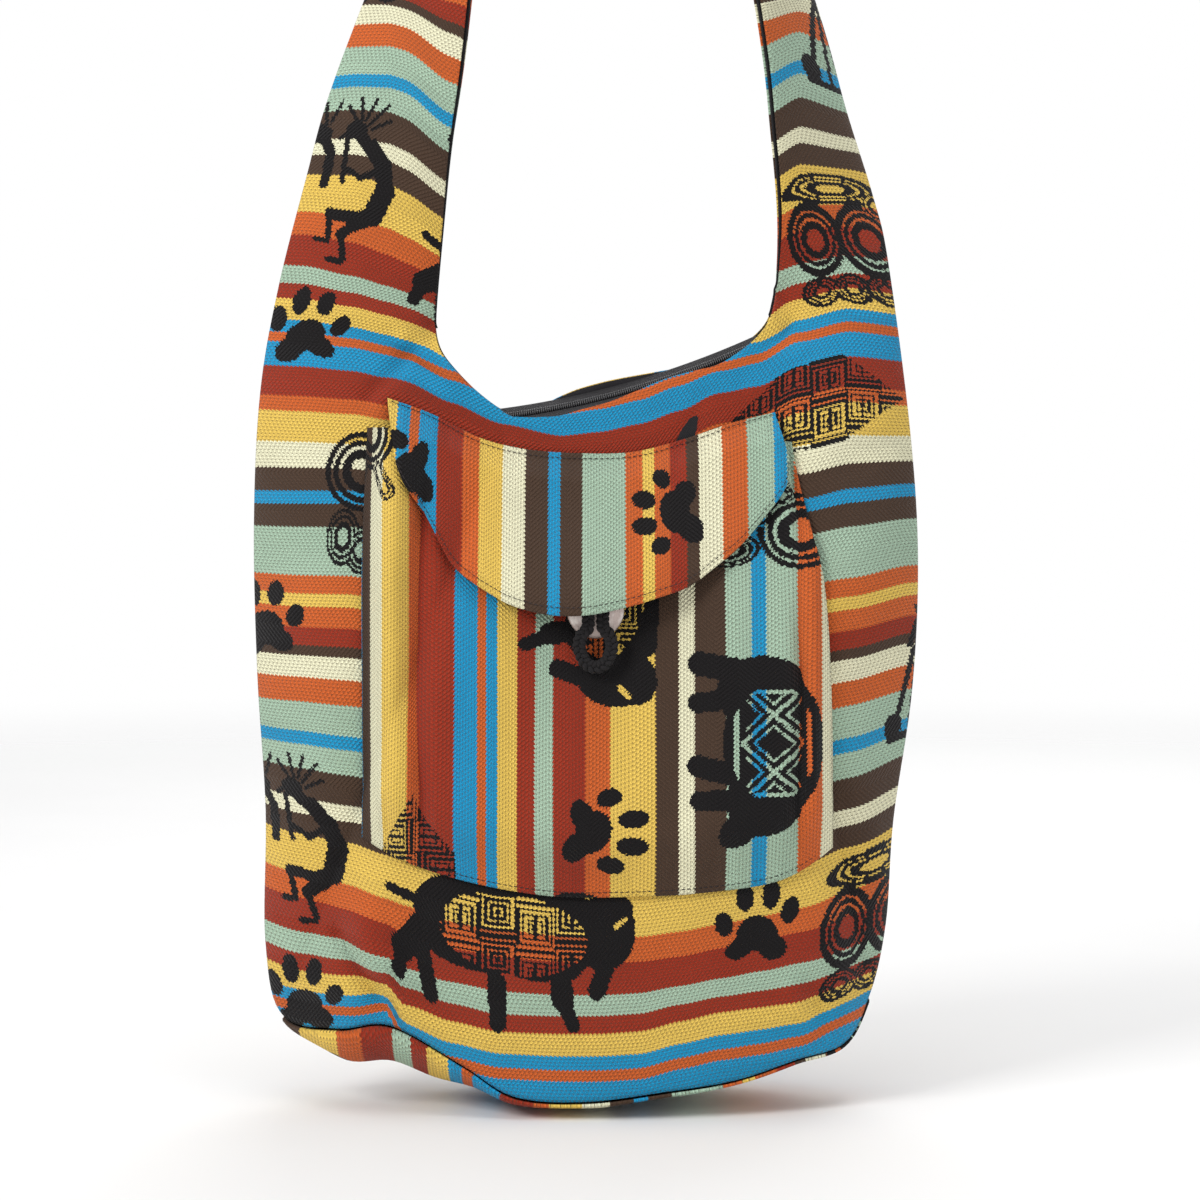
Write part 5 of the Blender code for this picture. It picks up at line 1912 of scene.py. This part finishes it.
@dataclass
class Fastening:
    """Domed button on its thread shank, and the braided loop that comes from under the flap."""

    finishes: Finishes
    shank_size: float = 0.006
    shank_length: float = 0.0042
    size: float = 0.032
    thickness: float = 0.0046
    cord: float = 0.0076
    width: float = 0.0255
    length: float = 0.0440
    cord_length: float = 0.0924
    plait_pitch: float = 0.0092
    plait_side: float = 0.0024
    plait_out: float = 0.0014
    strand_radius: float = 0.00138
    touch: float = 0.0003

    def build(self, pocket: Pocket) -> None:
        """Build the three pieces in front of the pocket's dent.

        Args:
            pocket: the finished pocket.
        """
        x, z = pocket.button_x, pocket.button_z
        cloth = skin(pocket.pocket, x, z)
        shank_back = cloth - pocket.sewn_gap
        route = [hang(Vector((x, shank_back - self.shank_length * k / 8, z))) for k in range(9)]
        shank = tube("thread_shank", route,
                     lambda k: self.shank_size / 2 * (0.86 + 0.14 * math.cos(k * math.pi)),
                     self.finishes.thread, 20)
        attach(shank, "cord", "button_shank")
        back = shank_back - self.shank_length - self.touch
        attach(self.button(hang(Vector((x, back, z)))), "button_metal", "button")
        self.loop(pocket, x, z, back - self.thickness)

    def button(self, place: Vector) -> bpy.types.Object:
        """A turned dome with a rolled rim and a shallow ring.

        Args:
            place: middle of its back.

        Returns:
            The new object.
        """
        radius, rim = self.size / 2, self.thickness * 0.35
        profile = [(0.0, self.thickness)]
        for step in range(1, 25):
            angle = math.pi / 2 * step / 24
            groove = 0.00022 * math.exp(-((math.sin(angle) - 0.80) / 0.03) ** 2)
            height = rim + (self.thickness - rim) * math.cos(angle) - groove
            profile.append((radius * math.sin(angle), height))
        profile += [(radius, rim * 0.4), (radius - rim * 0.4, 0.0), (0.0, 0.0)]
        rings = []
        for out, up in profile:
            around = turns(72) if out else [0.0]
            rings.append([place + Vector((out * math.cos(turn), -up, out * math.sin(turn)))
                          for turn in around])
        return ring_object("domed_button", rings, self.finishes.silver)

    def loop(self, pocket: Pocket, x: float, z: float, button_front: float) -> None:
        """Three plaited strands along the loop's line.

        Args:
            pocket: the finished pocket.
            x, z: the button's middle.
            button_front: Y of the button's front.
        """
        cord = self.cord / 2
        strand, spread = cord + self.touch, self.width / 2 - cord
        top = z + 0.20 * self.length
        low = top - self.length + cord
        half = [(strand, top), (strand, top - 0.22 * self.length),
                (strand * 1.05, top - 0.42 * self.length),
                (spread * 0.86, low + 0.40 * self.length),
                (spread, low + 0.24 * self.length), (spread * 0.62, low + 0.06 * self.length)]
        route = [(-a, b) for a, b in half] + [(0.0, low)] + half[::-1]
        front = button_front - self.touch - cord
        foot = min(skin(pocket.pocket, x, low) - 2 * pocket.sewn_gap - cord, front)
        steps, line = 220, []
        for step in range(steps + 1):
            place = along_points(route, step / steps)
            down = fade((top - place.y) / (top - low))
            line.append(Vector((x + place.x, front + (foot - front) * down, place.y)))
        length = [0.0]
        for a, b in zip(line, line[1:]):
            length.append(length[-1] + (b - a).length)
        verts, faces = [], []
        for k in range(3):
            points = []
            for index, centre in enumerate(line):
                axis = (line[min(index + 1, steps)] - line[max(index - 1, 0)]).normalized()
                out = Vector((0, -1, 0))
                side = axis.cross(out).normalized()
                turn = length[index] / self.plait_pitch * 2 * math.pi + k * 2 * math.pi / 3
                points.append(hang(centre + side * self.plait_side * math.sin(turn)
                                   + out * self.plait_out * math.sin(2 * turn)))
            made = tube(f"plait_{k}", points, lambda _: self.strand_radius, self.finishes.cord)
            first = len(verts)
            verts += [corner.co.copy() for corner in made.data.vertices]
            faces += [[first + i for i in face.vertices] for face in made.data.polygons]
            bpy.data.objects.remove(made, do_unlink=True)
        loop = mesh_object("braided_loop", verts, [], faces, self.finishes.cord)
        attach(loop, "cord", "flap_loop")


@dataclass
class Studio:
    """Pale floor, soft lamps and the camera at the photograph's angle."""

    centre: Point = (-0.0005, -0.5885)
    distance: float = 1.75
    elevation: float = 2.5
    width: float = 0.672
    floor_z: float = -0.8790
    floor_radius: float = 3.4

    def build(self) -> None:
        """Build everything round the bag."""
        self.camera()
        self.ground()
        self.lamps()

    def camera(self) -> None:
        """The camera looks along +Y, a little from above."""
        data = bpy.data.cameras.new("camera")
        data.sensor_width = 36.0
        data.lens = 36.0 * self.distance / self.width
        data.clip_end = 50.0
        eye = link("camera", data)
        tilt = math.radians(self.elevation)
        target = Vector((self.centre[0], -0.04, self.centre[1]))
        eye.location = target + Vector((0, -math.cos(tilt), math.sin(tilt))) * self.distance
        eye.rotation_euler = (math.pi / 2 - tilt, 0, 0)
        bpy.context.scene.camera = eye

    def ground(self) -> None:
        """A round floor below the bag."""
        points = [(self.floor_radius * math.cos(turn), self.floor_radius * math.sin(turn), self.floor_z)
                  for turn in turns(96)]
        finish = Plaster("pale_floor", linear(243, 242, 240)).make()
        mesh_object("floor", points, [], [tuple(range(96))], finish)

    def lamps(self) -> None:
        """Broad soft lamps and a pale world."""
        for name, place, size, power in (
                ("key", (-1.9, -1.8, 1.0), 1.1, 50.0), ("fill", (1.7, -2.0, 0.0), 2.4, 14.0),
                ("top", (0.1, -0.4, 1.9), 1.6, 24.0), ("rim", (0.4, 1.9, 0.9), 2.0, 26.0)):
            data = bpy.data.lights.new(name, "AREA")
            data.size, data.energy = size, power
            lamp = link(name, data)
            lamp.location = place
            aim = Vector((0, 0, -0.5)) - lamp.location
            lamp.rotation_euler = aim.to_track_quat("-Z", "Y").to_euler()
        world = bpy.data.worlds.new("pale_world")
        bpy.context.scene.world = world
        world.use_nodes = True
        world.node_tree.nodes.clear()
        graph = Graph(world.node_tree)
        path = graph.node("ShaderNodeLightPath").outputs
        seen = Wire(graph, path["Is Camera Ray"]).most(Wire(graph, path["Is Glossy Ray"])) \
            .most(Wire(graph, path["Is Transmission Ray"]))
        sky = graph.node("ShaderNodeBackground", None, {
            "Color": graph.mix(seen, (0.93, 0.95, 1.0), (1.0, 1.0, 1.0)), "Strength": seen * 0.55 + 0.45})
        graph.node("ShaderNodeOutputWorld", None, {"Surface": sky.outputs[0]})


def main() -> None:
    """Build the bag in order and report each piece."""
    logging.basicConfig(level=logging.INFO, format="%(name)s: %(message)s")
    bpy.context.scene.view_settings.view_transform = "Standard"
    Studio().build()
    shape, finishes = BagShape(), Finishes()
    body = BagBody(shape, finishes)
    body.build()
    Zip(finishes).build(shape)
    pocket = Pocket(finishes)
    pocket.build(body.front, shape)
    Fastening(finishes).build(pocket)


if __name__ == "__main__":
    main()
